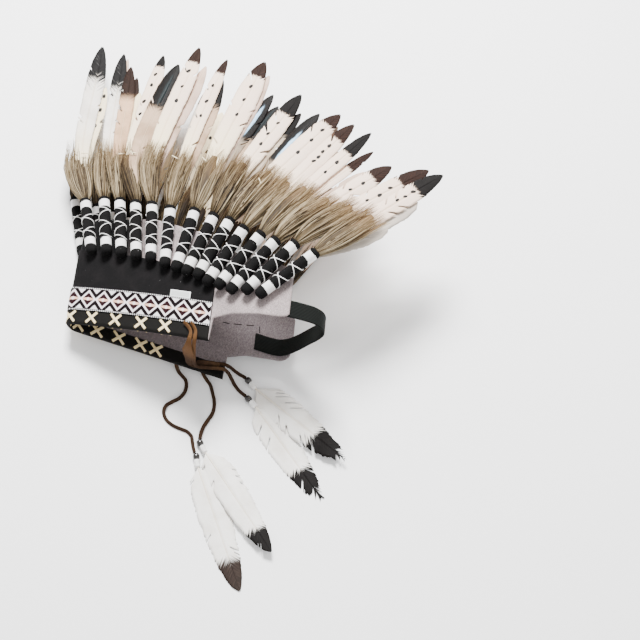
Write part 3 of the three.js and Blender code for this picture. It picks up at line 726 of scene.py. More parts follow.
elastic_finish = finish_of("black_elastic", paint_elastic, specular_ior_level=0.08)
elastic_low, elastic_height, elastic_thickness = 0.041, 0.018, 0.0015
lifted = -layer_gap - elastic_thickness / 2
nape = [(7, 106.5), (18, 106.5), (26, 102), (28.5, 93), (24, 81), (13, 63), (0, 42), (-12, 26), (-21, 19)]
wall_start = on_band(np.array([0.230, 0.240, 0.250]), lifted, 0.0)
wall_end = on_band(np.array([-0.215, -0.208, -0.200]), lifted, 0.0)
loop = np.array([(mark[0] + x / 1000, rim_y, z / 1000) for x, z in nape])
route = smooth_path(np.concatenate([wall_start, loop, wall_end]), 150)
heading = unit(np.gradient(route, axis=0))
normal = np.stack([-heading[:, 2], np.zeros(150), heading[:, 0]], 1)
rise = np.linspace(0, 1, 17)
share = np.concatenate([rise, rise[::-1]])
face = np.concatenate([np.full(17, 0.5), np.full(17, -0.5)]) * (1 - 0.35 * (np.abs(share - 0.5) > 0.49))
height = elastic_low + share * elastic_height
points = route[:, None] + normal[:, None] * (face * elastic_thickness)[None, :, None]
points = points + np.stack([-slant * height, height, np.zeros(34)], 1)[None]
flat = np.stack(np.broadcast_arrays(along_of(route)[:, None] * 1000, height[None, :] * 1000),
                -1).reshape(-1, 2)
elastic = closed(make_piece("back_elastic", points.reshape(-1, 3), grid_faces(150, 34, True),
                            elastic_finish, flat=flat))
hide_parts("elastic_strap")


# ---- wrapped sleeves ------------------------------------------------------------------------
# Each quill is a tube of black felt rolled round the feather's root. White thread is wound round
# it near both ends, and one cord criss-crosses between the two windings.
quills = [
    dict(along=20, height=87, lean=-30, feather_lean=-19, reach=211, width=18, back_lean=-14, back_reach=169),
    dict(along=40, height=88, lean=-26, feather_lean=-18, reach=199, width=17, back_lean=-15, back_reach=190),
    dict(along=59, height=87, lean=-25, feather_lean=-19, reach=183, width=18, back_lean=-20, back_reach=152),
    dict(along=78, height=85, lean=-24, feather_lean=-15, reach=201, width=17, back_lean=-9, back_reach=190),
    dict(along=96, height=84, lean=-22, feather_lean=-9, reach=215, width=20, back_lean=-6, back_reach=196),
    dict(along=114, height=80, lean=-18, feather_lean=-5, reach=201, width=17, back_lean=-3, back_reach=176),
    dict(along=130, height=78, lean=-6, feather_lean=-1, reach=209, width=24, back_lean=5, back_reach=181),
    dict(along=144, height=75, lean=2, feather_lean=9, reach=181, width=21, back_lean=13, back_reach=166),
    dict(along=158, height=73, lean=7, feather_lean=19, reach=178, width=22, back_lean=11, back_reach=172),
    dict(along=170, height=67, lean=12, feather_lean=20, reach=175, width=20, back_lean=16, back_reach=168),
    dict(along=184, height=65, lean=18, feather_lean=21, reach=172, width=20, back_lean=17, back_reach=150),
    dict(along=198, height=62, lean=21, feather_lean=30, reach=151, width=20, back_lean=22, back_reach=160),
    dict(along=215, height=64, lean=26, feather_lean=35, reach=165, width=21, back_lean=36, back_reach=133),
    dict(along=231, height=62, lean=34, feather_lean=33, reach=166, width=22, back_lean=39, back_reach=118),
]
sleeve_radius, sleeve_below, sleeve_above, sleeve_lift, sleeve_inset = 0.0058, 0.014, 0.059, 0.0102, 0.005


def set_out(row, side, share, odd):
    """Where a quill's parts go: its foot, the sleeve's direction and normal, its feathers'
    root, directions and sizes. Far quills lie flat and evenly spaced."""
    if side == "near":
        turn = heading_at(row["along"] / 1000)
        lean = np.radians(row["lean"])
        climb = np.tan(turn) * (np.sin(lean) + slant * np.cos(lean))
        foot = on_band(row["along"] / 1000, sleeve_lift, row["height"] / 1000)
        normal = np.array([-np.sin(turn), 0, np.cos(turn)])
        way = leaning(row["lean"], climb)
        lean, back, droop, lift, factor = row["feather_lean"], row["back_lean"], 0.02, 0.0, 1.0
        width = row["width"] / 1000
    else:
        foot = on_band(-0.004 - 0.0146 * share * 13, sleeve_lift, 0.103 - 0.031 * share)
        foot[2] = sleeve_radius
        normal = np.array([0, 0, 1.0])
        way = leaning(-30 + 46 * share, 0.0)
        lean, droop, factor = -19 + 30 * share, 0.0, 0.84
        back, lift = lean + (4 if odd else -4), (0.0026 if odd else -0.0026)
        width = row["width"] * 0.0009
    top = foot + way * (sleeve_above - sleeve_inset)
    return dict(foot=foot, way=way, normal=unit(normal), top=top, lean=lean, back_lean=back, droop=droop,
                root=top + np.array([0, 0, lift]), reach=row["reach"] * factor / 1000, width=width,
                back_reach=row["back_reach"] * factor / 1000, near=side == "near")


def paint_sleeve(wire):
    across, along = wire.flat()
    fibre = wire.noise(wire.place(), 800.0, 5.0, 0.65)
    clouds = wire.noise(wire.place(), 90.0)
    lint = wire.noise(wire.place(), 330.0, 2.0)
    colour = wire.blend(fibre, (0.0015, 0.0015, 0.0016), (0.011, 0.0105, 0.0105))
    worn = wire.blend(lint.step(0.72, 0.78) * 0.6, colour, (0.22, 0.21, 0.21))
    return {"Base Color": worn, "Roughness": fibre * 0.1 + 0.82,
            "Normal": wire.bump(fibre + clouds, 0.7, 0.0008)}


sleeve_felt = finish_of("sleeve_felt", paint_sleeve, specular_ior_level=0.04)
wrap_half, lower_wrap, upper_wrap = 0.0049, 0.0, 0.050


def round_of(way, normal):
    """The two directions square to a sleeve: across it and away from the band."""
    across = unit(np.cross(way, normal))
    return across, np.cross(across, way)


def sleeve_size(along):
    """The felt tube's radius at a distance from the foot mark: full between the windings,
    pinched under each one and rounded off at both ends."""
    pinch = sum(np.exp(-((along - middle) / 0.0049) ** 8) for middle in (lower_wrap, upper_wrap))
    foot_end = np.clip((along + sleeve_below) / 0.0045, 0, 1)
    top_end = np.clip((sleeve_above - along) / 0.0016, 0, 1)
    rim = 0.05 * np.exp(-((sleeve_above - 0.0022 - along) / 0.0018) ** 2)
    return sleeve_radius * (1 - 0.07 * pinch + rim) * (0.5 + 0.5 * np.sqrt(1 - (1 - foot_end) ** 2)) * (
        0.7 + 0.3 * np.sqrt(1 - (1 - top_end) ** 2))


def sleeve_shell(place, random):
    """The felt tube: radius(along) with a slight seam ridge and soft dents round it."""
    along = np.concatenate([[-sleeve_below], np.linspace(-sleeve_below + 0.0002, sleeve_above - 0.0002, 40),
                            [sleeve_above]])
    across, up = round_of(place["way"], place["normal"])
    turn = np.linspace(0, 2 * np.pi, 28, endpoint=False)
    size = sleeve_size(along)[:, None] * (1 + 0.02 * np.sin(2 * turn[None, :] + random.uniform(0, 6))
                                          - 0.03 * (random.random((len(along), 1)) > 0.96))
    ring = np.stack([np.cos(turn), np.sin(turn)], 1)
    middle = place["foot"] + along[:, None] * place["way"]
    points = (middle[:, None] + size[..., None] * (ring[None, :, :1] * across + ring[None, :, 1:] * up))
    flat = np.stack(np.broadcast_arrays(turn[None, :] * 5.8, along[:, None] * 1000), -1).reshape(-1, 2)
    points = np.concatenate([points.reshape(-1, 3), middle[:1], middle[-1:]])
    count, j = len(along) * 28, np.arange(28)
    caps = [np.stack([(j + 1) % 28, j, np.full(28, count)], 1),
            np.stack([count - 28 + j, count - 28 + (j + 1) % 28, np.full(28, count + 1)], 1)]
    return points, [grid_faces(len(along), 28, True), *caps], np.concatenate([flat, [flat[0], flat[-1]]])


def winding(place, middle):
    """White thread wound tightly round the sleeve: a band with one ridge for each turn."""
    along = np.linspace(-wrap_half, wrap_half, 25)
    ridge = 0.00011 * np.abs(np.sin(np.linspace(0, 12 * np.pi, 25)))
    size = sleeve_radius * 0.97 + ridge - 0.0011 * (np.abs(along) > wrap_half * 0.985)
    across, up = round_of(place["way"], place["normal"])
    turn = np.linspace(0, 2 * np.pi, 20, endpoint=False)
    ring = np.stack([np.cos(turn), np.sin(turn)], 1)
    line = place["foot"] + (middle + along)[:, None] * place["way"]
    points, faces = carried(line, np.tile(across, (25, 1)), np.tile(up, (25, 1)), ring, size)
    flat = np.stack(np.broadcast_arrays(turn[None, :] * 5.8, along[:, None] * 1000), -1).reshape(-1, 2)
    return points, faces, np.concatenate([flat, [flat[0], flat[-1]]])


def criss_cross(place, turns, start):
    """Two thin cords wound the opposite ways between the windings: angle = start + turns *
    share, at the sleeve's own radius, each a closed six-sided tube."""
    parts = []
    across, up = round_of(place["way"], place["normal"])
    share = np.linspace(0, 1, 56)
    along = lower_wrap + wrap_half + share * (upper_wrap - lower_wrap - 2 * wrap_half)
    for way in (1, -1):
        angle = start + way * turns * 2 * np.pi * share
        size = (sleeve_size(along) + 0.00035
                + 0.0003 * (way > 0) * np.exp(-((np.cos(angle - start)) / 0.3) ** 2))
        outward_way = np.cos(angle)[:, None] * across + np.sin(angle)[:, None] * up
        line = place["foot"] + along[:, None] * place["way"] + size[:, None] * outward_way
        heading = unit(np.gradient(line, axis=0))
        ring = np.linspace(0, 2 * np.pi, 6, endpoint=False)
        side = np.cross(heading, outward_way)
        points, faces = carried(line, side, outward_way, np.stack([np.cos(ring), np.sin(ring)], 1) * 0.00044,
                                np.ones(56))
        parts.append((points, faces, np.zeros((len(points), 2))))
    return parts


# Where each sleeve's cord starts round it (turns of pi): half shows crosses in front, none or
# one shows a zigzag with its crosses at the sides.
cross_start = np.pi * np.array([-0.42, 0.12, 0.06, 0.1, -0.5, 0.95, -0.45,
                                -0.55, 0.03, -0.5, -0.45, -0.52, -0.48, -0.5])
places = {}
for side in ("near", "far"):
    for i, row in enumerate(quills):
        name = f"{side}_{i + 1:02d}"
        random = np.random.default_rng(100 * (side == "far") + i)
        place = places[name] = set_out(row, side, i / 13, i % 2)
        place["number"] = i
        points, faces, flat = sleeve_shell(place, random)
        points[:, 2] = np.maximum(points[:, 2], 0.0001)
        sleeve = make_piece(f"felt_sleeve_{name}", points, faces, sleeve_felt, flat=flat)
        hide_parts(f"{side}_quill_{i + 1:02d}")
        parts = [winding(place, lower_wrap), winding(place, upper_wrap),
                 *criss_cross(place, 2.3, cross_start[i])]
        points, faces, flat = joined(parts)
        points[:, 2] = np.maximum(points[:, 2], 0.0)
        make_piece(f"white_winding_{name}", points, faces, white_thread, flat=flat)


# ---- feathers -------------------------------------------------------------------------------
# Every quill holds a long pointed feather with painted dots and a dyed tip, and shorter ones
# behind it. The barbs leave a curved shaft and hook together, with a few splits.
blade = np.array([  # along, left half, right half, as shares of the reach and the half width
    (0, 0.12, 0.12), (0.15, 0.5, 0.5), (0.45, 0.95, 0.9), (0.70, 1.08, 0.97), (0.82, 1.06, 0.86),
    (0.90, 0.86, 0.62), (0.95, 0.56, 0.42), (0.98, 0.27, 0.22), (1, 0.03, 0.03)]).T
blunt = np.array([(0, 0.15, 0.15), (0.2, 0.6, 0.6), (0.6, 1, 1), (0.85, 0.9, 0.9), (0.95, 0.62, 0.62),
                  (1, 0.1, 0.1)]).T
drop_shape = np.array([(0, 0.25, 0.25), (0.06, 0.8, 0.7), (0.2, 1.15, 1.0), (0.4, 1.12, 1.06),
                       (0.6, 0.92, 0.98),
                       (0.76, 0.72, 0.84), (0.88, 0.48, 0.62), (0.95, 0.27, 0.38), (1, 0.04, 0.04)]).T


class Feather:
    """A feather's surface. With u = s / reach, the shaft is root + s * way, moved sideways by
    bend * u^3 - bow * 6.75 * u * (1 - u)^2. A point of the vane is shaft(s) + x sideways,
    drooping with the square of x."""

    def __init__(self, root, way, reach, width, bend=0.0, shape=blade, seed=0, roll=0.0, droop=0.35, bow=0.0,
                 spacing=1.5):
        self.root, self.reach, self.width, self.way = root, reach, width, way
        self.bend, self.bow, self.spacing = bend, bow, spacing
        self.shape, self.droop = shape, droop
        level = unit(np.array([0, 0, 1.0]) - way[2] * way)
        side = np.cross(way, level)
        self.side = np.cos(roll) * side + np.sin(roll) * level
        self.up = np.cross(self.side, way)
        self.random = np.random.default_rng(seed)

    def shaft(self, s):
        share = np.asarray(s)[..., None] / self.reach
        aside = self.bend * share**3 - self.bow * 6.75 * share * (1 - share)**2
        return self.root + share * self.reach * self.way + aside * self.side

    def half(self, s, sign):
        return np.interp(s / self.reach, self.shape[0], self.shape[2 if sign > 0 else 1]) * self.width / 2

    def surface(self, s, x):
        share = np.asarray(s)[..., None] / self.reach
        slope = (self.bend * 3 * share**2 - self.bow * 6.75 * (1 - share) * (1 - 3 * share)) / self.reach
        side = unit(self.side - slope * self.way)
        drop = -self.droop * np.asarray(x) ** 2 / self.width
        return self.shaft(s) + np.asarray(x)[..., None] * side + drop[..., None] * self.up

    def vane(self, sign, tip_start, split=0.05, ragged=0.02, comb=0.0):
        """One side of the vane. Rows are barbs that run forward and out from the shaft until they
        meet the outline. Between splits the barbs keep together, spread and end unevenly."""
        random, rows, columns = self.random, int(self.reach * 1000 / self.spacing), 6
        root = np.linspace(0.02, 0.985, rows) * self.reach
        t = np.linspace(0, 1, columns)
        angle = np.radians(np.interp(root / self.reach, [0, 0.6, 0.9, 1], [48, 38, 26, 10]))
        reach_out = self.half(root, sign)
        for _ in range(30):
            ahead = np.minimum(root + reach_out / np.tan(angle), self.reach)
            reach_out = 0.6 * reach_out + 0.4 * self.half(ahead, sign)
        calm = np.clip((1 - root / self.reach - 0.10) / 0.30, 0, 1) if not comb else np.ones(rows)
        uneven = 1 + random.normal(0, ragged, rows) * calm
        forward = np.minimum(reach_out / np.tan(angle), self.reach * 1.0 - root) * uneven
        reach_out = reach_out * uneven
        clump = np.cumsum(random.random(rows) < split * np.where(root > self.reach - comb, 3.0, calm))
        lean = (random.normal(0, 0.0010, clump[-1] + 1)[clump]) * calm
        start = np.searchsorted(clump, clump)
        count = np.searchsorted(clump, clump, side="right") - start
        inside = (np.arange(rows) - start + 0.5) / count - 0.5
        pinch = np.where(root > self.reach - comb, 0.0014, 0.0002)
        lean = lean - inside * np.minimum(count, 8) * pinch
        s = np.minimum(root[:, None] + forward[:, None] * t**0.92 + lean[:, None] * t**2, self.reach)
        x = sign * reach_out[:, None] * t
        points = self.surface(s, x)
        faces = grid_faces(rows, columns)
        row, column = np.divmod(np.arange(len(faces)), columns - 1)
        gap = (clump[1:] != clump[:-1])[row]
        cut = np.where(root > self.reach - comb,
                       random.integers(0, 3, rows), random.integers(2, columns, rows))[row]
        faces = faces[~(gap & (column >= cut))]
        if sign < 0:
            faces = faces[:, ::-1]
        flat = np.stack([x * 1000, (s - tip_start) * 1000], -1)
        return points.reshape(-1, 3), [faces], flat.reshape(-1, 2)

    def rachis(self, tip_start, thick=0.0011):
        """The shaft: a tapering closed tube that stands a little above the vane."""
        s = np.linspace(-0.004, self.reach * 0.97, 40)
        line = self.shaft(s) + 0.0001 * self.up
        heading = unit(np.gradient(line, axis=0))
        side = np.cross(heading, self.up)
        turn = np.linspace(0, 2 * np.pi, 8, endpoint=False)
        size = thick / 2 * (1 - 0.85 * np.clip(s / self.reach, 0, 1))
        points, faces = carried(line, side, np.cross(side, heading),
                                np.stack([np.cos(turn), np.sin(turn)], 1), size)
        flat = np.stack([np.zeros(40 * 8), np.repeat((s - tip_start) * 1000, 8)], 1)
        return points, faces, np.concatenate([flat, [flat[0], flat[-1]]])


def feather_paint(body, shadow, tip, soft=3.0, jagged=10.0, streak=0.0, sheen=None, root=None):
    """The flat coordinates are millimetres across the shaft and from where the dyed tip starts.
    Fine lines follow the barbs, and the dye ends unevenly on them."""
    def paint(wire):
        across, from_tip = wire.flat()
        barb_root = from_tip - across.size() * 1.25
        barb = wire.math("SINE", barb_root * (2 * np.pi / 0.95) + wire.noise(wire.place(), 300.0) * 3.0)
        uneven = wire.noise(wire.point(across * 0.03, barb_root * 0.5, 3.0), 1.0, 4.0, 0.75)
        cloud = wire.noise(wire.place(), 50.0, 3.0)
        body_colour = wire.blend(cloud.step(0.35, 0.75), body, shadow)
        lined = wire.blend((barb * 0.5 + 0.5) * 0.3, body_colour, shadow)
        lined = wire.blend((across.size() < 0.4) * 0.35, lined, (0.80, 0.66, 0.46))
        if root:
            lined = wire.blend((0.0 - from_tip).step(45.0, 120.0), lined, root)
        if streak:
            dark = wire.noise(wire.point(across * 0.06, barb_root * 0.8, 1.0), 1.0, 4.0, 0.75)
            near_tip = from_tip.step(-45.0, 5.0)
            lined = wire.blend((dark + near_tip * 0.16).step(0.66, 0.74) * streak, lined, tip)
        tip_share = (from_tip + (uneven - 0.5) * jagged * 2.4).step(-soft / 2, soft / 2)
        fine = wire.noise(wire.point(across * 0.15, barb_root * 1.6, 7.0), 1.0, 3.0)
        tip_line = wire.blend(fine.step(0.42, 0.72), tip, tuple(0.001 + 3.2 * c for c in tip))
        if streak:
            pale = wire.noise(wire.point(across * 0.10, barb_root * 0.55, 5.0), 1.0, 3.0, 0.7)
            tip_line = wire.blend(pale.step(0.58, 0.72) * 0.5, tip_line, (0.16, 0.15, 0.15))
        if sheen:
            # Painted sheen: an uneven patch of the sheen colour lies on the dyed part, beside the shaft and
            # about 24 mm beyond where the dye starts.
            aside, beyond = (across + 1.2) * 0.34, (from_tip - 24.0) * 0.034
            patch = aside * aside + beyond * beyond
            sheen_cloud = wire.noise(wire.point(across, from_tip * 0.12, 2.0), 1.0, 3.0)
            gleam = (1.0 - patch) + (sheen_cloud - 0.5) * 1.4
            tip_line = wire.blend(gleam.step(0.05, 0.8), tip_line, sheen)
        return {"Base Color": wire.blend(tip_share, lined, tip_line),
                "Roughness": cloud * 0.2 + (0.3 if sheen else 0.55), "Normal": wire.bump(barb, 0.3, 0.0002)}
    return paint


def feather_finish(name, paint, gloss=0.12):
    return finish_of(name, paint, specular_ior_level=gloss)


black, soft_black, brown = (0.0022, 0.0016, 0.0014), (0.004, 0.0037, 0.0037), (0.0095, 0.0036, 0.0020)
white, warm, tan, grey = (0.84, 0.79, 0.73), (0.84, 0.67, 0.545), (0.64, 0.40, 0.25), (0.55, 0.49, 0.42)
feather_finishes = {
    "cool": feather_finish("cool_white_feather",
                           feather_paint(white, (0.66, 0.61, 0.55), soft_black, 4, 26, 0.8,
                                                       root=(0.86, 0.74, 0.52))),
    "warm": feather_finish("warm_white_feather", feather_paint(warm, (0.84, 0.65, 0.51), black, 1.5, 9,
                                                       root=(0.88, 0.74, 0.50))),
    "brown": feather_finish("brown_tipped_feather", feather_paint(warm, (0.82, 0.63, 0.50), brown, 1.5, 9,
                                                            root=(0.88, 0.74, 0.50))),
    "tan": feather_finish("tan_feather",
                          feather_paint(tan, (0.42, 0.27, 0.16), (0.009, 0.004, 0.0025), 14, 6)),
    "pink": feather_finish("pink_beige_feather",
                           feather_paint((0.58, 0.42, 0.34), (0.40, 0.28, 0.21), black)),
    "beige": feather_finish("dark_tipped_beige_feather",
                            feather_paint((0.58, 0.48, 0.37), (0.36, 0.27, 0.19), black, 6, 10)),
    "grey": feather_finish("grey_beige_feather", feather_paint(grey, (0.42, 0.37, 0.32), soft_black, 8, 10)),
    # The glossy and the blue-black finishes carry a painted sheen in their dyed parts.
    "glossy": feather_finish("glossy_black_feather", feather_paint(
        (0.50, 0.35, 0.24), (0.32, 0.21, 0.13), black, 8, 14, 0, (0.008, 0.012, 0.013)), 0.12),
    "blue": feather_finish("black_feather_painted_blue_sheen", feather_paint(
        (0.30, 0.24, 0.18), (0.20, 0.15, 0.11), black, 8, 12, 0, (0.42, 0.66, 0.88)), 0.12),
    "drop": feather_finish("drop_feather",
                           feather_paint((0.90, 0.88, 0.84), (0.74, 0.70, 0.64), black, 2, 14)),
    "drop_brown": feather_finish("brown_tipped_drop_feather",
                                 feather_paint((0.90, 0.88, 0.84), (0.74, 0.70, 0.64),
                                               (0.014, 0.009, 0.007), 9, 12)),
}
# The main feathers from the forehead back: finish, dyed length, change of lean (degrees), how
# much longer, sideways bend of the tip, bow to the front low down, share of the first cut's
# width, and where its dots are from the tip (mm).
main_looks = [
    ("cool", 48, 0, 4, 0, 10, 1.15, ()), ("cool", 50, 0, 2, 2, 3, 1.0, ()),
    ("tan", 44, 0, 0, -2, 6, 0.9, ()), ("warm", 18, 0, 1, 2, 14, 1.0, (29, 44, 67, 84)),
    ("brown", 23, 0, 2, 0, 13, 1.0, (36, 58, 78)), ("brown", 22, -2.2, 6, 8, 3, 0.9, (40, 62, 82)),
    ("brown", 23, 0, 1, 1, 4, 1.1, (38, 57, 78)), ("warm", 32, 0, 1, 1, 4, 1.05, (46, 63, 78)),
    ("brown", 20, 0, 0, 2, 3, 1.15, (29, 46, 67)), ("brown", 27, 0, 0, 1, 0, 1.0, (39, 49, 57, 64)),
    ("warm", 37, 0, 0, 1, 3, 0.8, (53, 70)), ("brown", 25, 1.5, 0, 1, 2, 1.1, (37, 52)),
    ("brown", 34, 0, 0, 3, 2, 1.1, (46, 60, 74)), ("warm", 34, 0, -3, 2, 0, 1.0, (38, 48, 57)),
]
# The shorter feathers: quill number, lean, reach, width, finish, dyed length, bend and outline.
# They lie behind, but the seventh, a glossy black one, is in front of its neighbour.
behind_looks = [
    (1, -16.1, 160, 13, "cool", 0, 0, blade), (1, -20.8, 168, 14, "cool", 34, 0, blade),
    (2, -16.7, 197, 11, "pink", 0, 2, blade), (2, -19.0, 160, 15, "cool", 20, 0, blade),
    (3, -15.2, 150, 15, "warm", 0, 0, blade), (3, -18, 172, 15, "tan", 30, 2, blade),
    (4, -10.6, 190, 22, "glossy", 64, 6, blade), (4, -17, 178, 14, "pink", 0, 0, blade),
    (5, -11.6, 205, 10, "cool", 26, 4, blade), (5, -6.4, 197, 17, "pink", 0, 3, blade),
    (6, -3.9, 183, 19, "glossy", 40, -2, blade), (6, -8.8, 173, 15, "grey", 30, 4, blade),
    (7, 1.6, 197, 18, "pink", 0, 2, blade), (7, 5.6, 176, 17, "blue", 68, 3, blade),
    (7, 9.5, 166, 17, "glossy", 55, 3, blade), (8, 12.4, 163, 18, "beige", 36, 2, blade),
    (8, 5.5, 140, 17, "grey", 20, 2, blade), (9, 11.4, 168, 18, "blue", 80, 5, blade),
    (9, 24.0, 157, 16, "glossy", 42, 2, blade), (9, 20.8, 168, 19, "pink", 0, 2, blade),
    (10, 25.5, 148, 20, "grey", 0, 2, blade), (10, 18.5, 158, 15, "beige", 30, 2, blade),
    (11, 26.3, 158, 12, "brown", 34, 2, blade), (12, 27, 132, 20, "pink", 0, 2, blade),
    (13, 38.5, 132, 20, "grey", 0, 2, blade), (14, 37.5, 124, 24, "grey", 0, 0, blunt),
    (14, 43, 84, 22, "grey", 0, 0, blunt),
]


def make_feather(name, feather, look, tip, split=0.05, ragged=0.02, comb=0.0,
                 thick=0.0011):
    start = feather.reach - tip if tip else feather.reach * 2
    shaft = feather.rachis(start, thick)
    parts = [feather.vane(sign, start, split, ragged, comb) for sign in (-1, 1)]
    points, faces, flat = joined(parts)
    points[:, 2] = np.maximum(points[:, 2], 0.0004)
    piece = make_piece(name, points, faces, feather_finishes[look], flat=flat)
    wall = piece.modifiers.new("thickness", "SOLIDIFY")
    wall.thickness, wall.offset = 0.00026, 0
    points, faces, flat = shaft
    make_piece(f"{name}_shaft", points, faces, feather_finishes[look], flat=flat)
    return piece


dots, main_lean = [], {}
for name, place in places.items():
    i = int(name[-2:]) - 1
    look, tip, turn, more, bend, bow, narrow, spots = main_looks[i]
    seed = 1000 + i + 40 * place["near"]
    if not place["near"]:
        turn, more, bow = (4 if i < 2 else 0), 0, 0
        look, tip = (("cool" if i < 2 else "warm"), 0) if i < 8 else (look, tip)
    feather = Feather(place["root"] + np.array([0, 0, 0.0006]),
                      leaning(place["lean"] + turn, -place["droop"]),
                      place["reach"] + more / 1000, place["width"] * narrow, bend / 1000, seed=seed,
                      bow=bow / 1000)
    main_lean[i + 1 if place["near"] else 0] = place["lean"] + turn
    make_feather(f"feather_{name}", feather, look, tip / 1000)
    for at in spots:
        s = feather.reach - at / 1000
        x = feather.random.uniform(-0.0012, 0.0012) - (0.0032 if i == 3 else 0.0012)
        dots.append((feather, s, x, feather.random.uniform(-0.5, 0.3)))
    if not place["near"]:
        back = Feather(place["root"] - np.array([0, 0, 0.0010]),
                       leaning(place["back_lean"] + 3 * (i < 2), -place["droop"]),
                       place["back_reach"] * (0.84 if i < 2 else 1), place["width"] * 0.8, seed=seed + 1000,
                       spacing=2.2)
        make_feather(f"back_feather_{name}", back, ("grey", "pink", "beige")[i % 3], 0.0)
for k, (i, lean, reach, width, look, tip, bend, shape) in enumerate(behind_looks):
    place = places[f"near_{i:02d}"]
    order = sum(row[0] == i for row in behind_looks[:k])
    lift = 0.0030 if k == 6 else -0.0030 - 0.0015 * order
    back = Feather(place["root"] + np.array([0, 0, lift]), leaning(lean, -place["droop"]),
                   reach / 1000, width / 1000, bend / 1000, shape, seed=2000 + k,
                   spacing=2.0, bow=0.85 * main_looks[i - 1][5] / 1000)
    make_feather(f"back_feather_near_{i:02d}_{'abc'[order]}", back, look, tip / 1000)
    if k in (0, 8):
        for at in ((14, 33, 55) if k == 0 else (40, 56, 74)):
            dots.append((back, back.reach - at / 1000, 0.0, -0.2))


# ---- painted dots ---------------------------------------------------------------------------
# The dots are touched on with black paint, as small uneven ovals near each shaft.
def dot_on(feather, s, x, turn):
    """A thin closed oval on the vane: surface(s + 2.4 mm * cos, x + 1.7 mm * sin), lifted."""
    around = np.linspace(0, 2 * np.pi, 16, endpoint=False)
    wobble = 1 + 0.12 * np.sin(2 * around + turn) + 0.06 * np.sin(3 * around)
    size = feather.random.uniform(0.85, 1.15) * wobble
    rings = []
    for share, lift in ((0.999, 0.00005), (1.0, 0.00040), (0.8, 0.00050), (0.4, 0.00052)):
        ds = share * size * (0.00245 * np.cos(around) * np.cos(turn)
                             - 0.00170 * np.sin(around) * np.sin(turn))
        dx = share * size * (0.00245 * np.cos(around) * np.sin(turn)
                             + 0.00170 * np.sin(around) * np.cos(turn))
        rings.append(feather.surface(s + ds, x + dx) + lift * feather.up)
    middle = feather.surface(np.array([s]), np.array([x]))
    points = np.concatenate([*rings, middle + 0.00005 * feather.up, middle + 0.00053 * feather.up])
    j = np.arange(16)
    below = np.stack([(j + 1) % 16, j, np.full(16, 64)], 1)
    above = np.stack([48 + j, 48 + (j + 1) % 16, np.full(16, 65)], 1)
    return points, [grid_faces(4, 16, True), below, above], np.zeros((66, 2))


def paint_ink(wire):
    grain = wire.noise(wire.place(), 1500.0)
    return {"Base Color": wire.blend(grain, (0.002, 0.002, 0.002), (0.012, 0.010, 0.009)),
            "Roughness": grain * 0.2 + 0.5}


points, faces, flat = joined([dot_on(*dot) for dot in dots])
outward(make_piece("painted_dots", points, faces,
                   finish_of("black_paint", paint_ink, specular_ior_level=0.15)))


# ---- cream ties -----------------------------------------------------------------------------
# A short stiff strip of cream straw lies across a few of the feathers, just above the fur.
straws = []
for k, (i, s, x, turn) in enumerate([(1, 62, 4, 0.05), (4, 63, 3, -0.15), (6, 64, -9, -0.35),
                                     (7, 64, -9, -0.5),
                                     (9, 56, -3, -0.55), (3, 60, 4, 0.1)]):
    feather = Feather(places[f"near_{i:02d}"]["root"],
                      leaning(main_lean[i], -places[f"near_{i:02d}"]["droop"]),
                      places[f"near_{i:02d}"]["reach"], 0.02, bow=main_looks[i - 1][5] / 1000)
    middle = feather.surface(np.array([s / 1000]), np.array([x / 1000]))[0] + 0.0058 * feather.up
    ahead = np.cos(turn) * feather.side + np.sin(turn) * feather.way
    line = middle + np.linspace(-0.0036, 0.0036, 8)[:, None] * ahead
    ring = np.linspace(0, 2 * np.pi, 8, endpoint=False)
    points, faces = carried(line, np.tile(np.cross(ahead, feather.up), (8, 1)), np.tile(feather.up, (8, 1)),
                            np.stack([np.cos(ring), np.sin(ring)], 1) * 0.00055, np.ones(8))
    straws.append((points, faces, np.zeros((len(points), 2))))


def paint_straw(wire):
    grain = wire.noise(wire.place(), 900.0)
    return {"Base Color": wire.blend(grain, (0.88, 0.78, 0.55), (0.80, 0.66, 0.40)),
            "Roughness": grain * 0.2 + 0.5}


points, faces, flat = joined(straws)
outward(make_piece("cream_ties", points, faces, finish_of("cream_straw", paint_straw),
                   flat=flat))


# ---- drop feathers --------------------------------------------------------------------------
# A large white feather hangs from each lace. Its dark tip is frayed.
for name, drop in drops.items():
    middle = mark + np.array(drop["bead"]) / 1000
    root = middle + leaning(drop["bead_lean"]) * (bead_length / 2 + 0.0004 + collar_length - 0.002)
    rise = (drop["tip_z"] / 1000 - root[2]) / (drop["reach"] / 1000)
    look = "drop_brown" if name == "far_outer" else "drop"
    tip = {"far_outer": 0.034, "far_inner": 0.029, "near_upper": 0.042, "near_lower": 0.038}[name]
    frayed = 0.022 if name.startswith("near") else 0.0
    feather = Feather(root, leaning(drop["lean"], rise), drop["reach"] / 1000, drop["width"] / 1000, 0.0,
                      drop_shape, seed=3000 + drop["reach"])
    drop_piece = make_feather(f"drop_feather_vane_{name}", feather, look, tip, 0.09, 0.03, frayed,
                              0.0017)
    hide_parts(f"drop_feather_{name}")


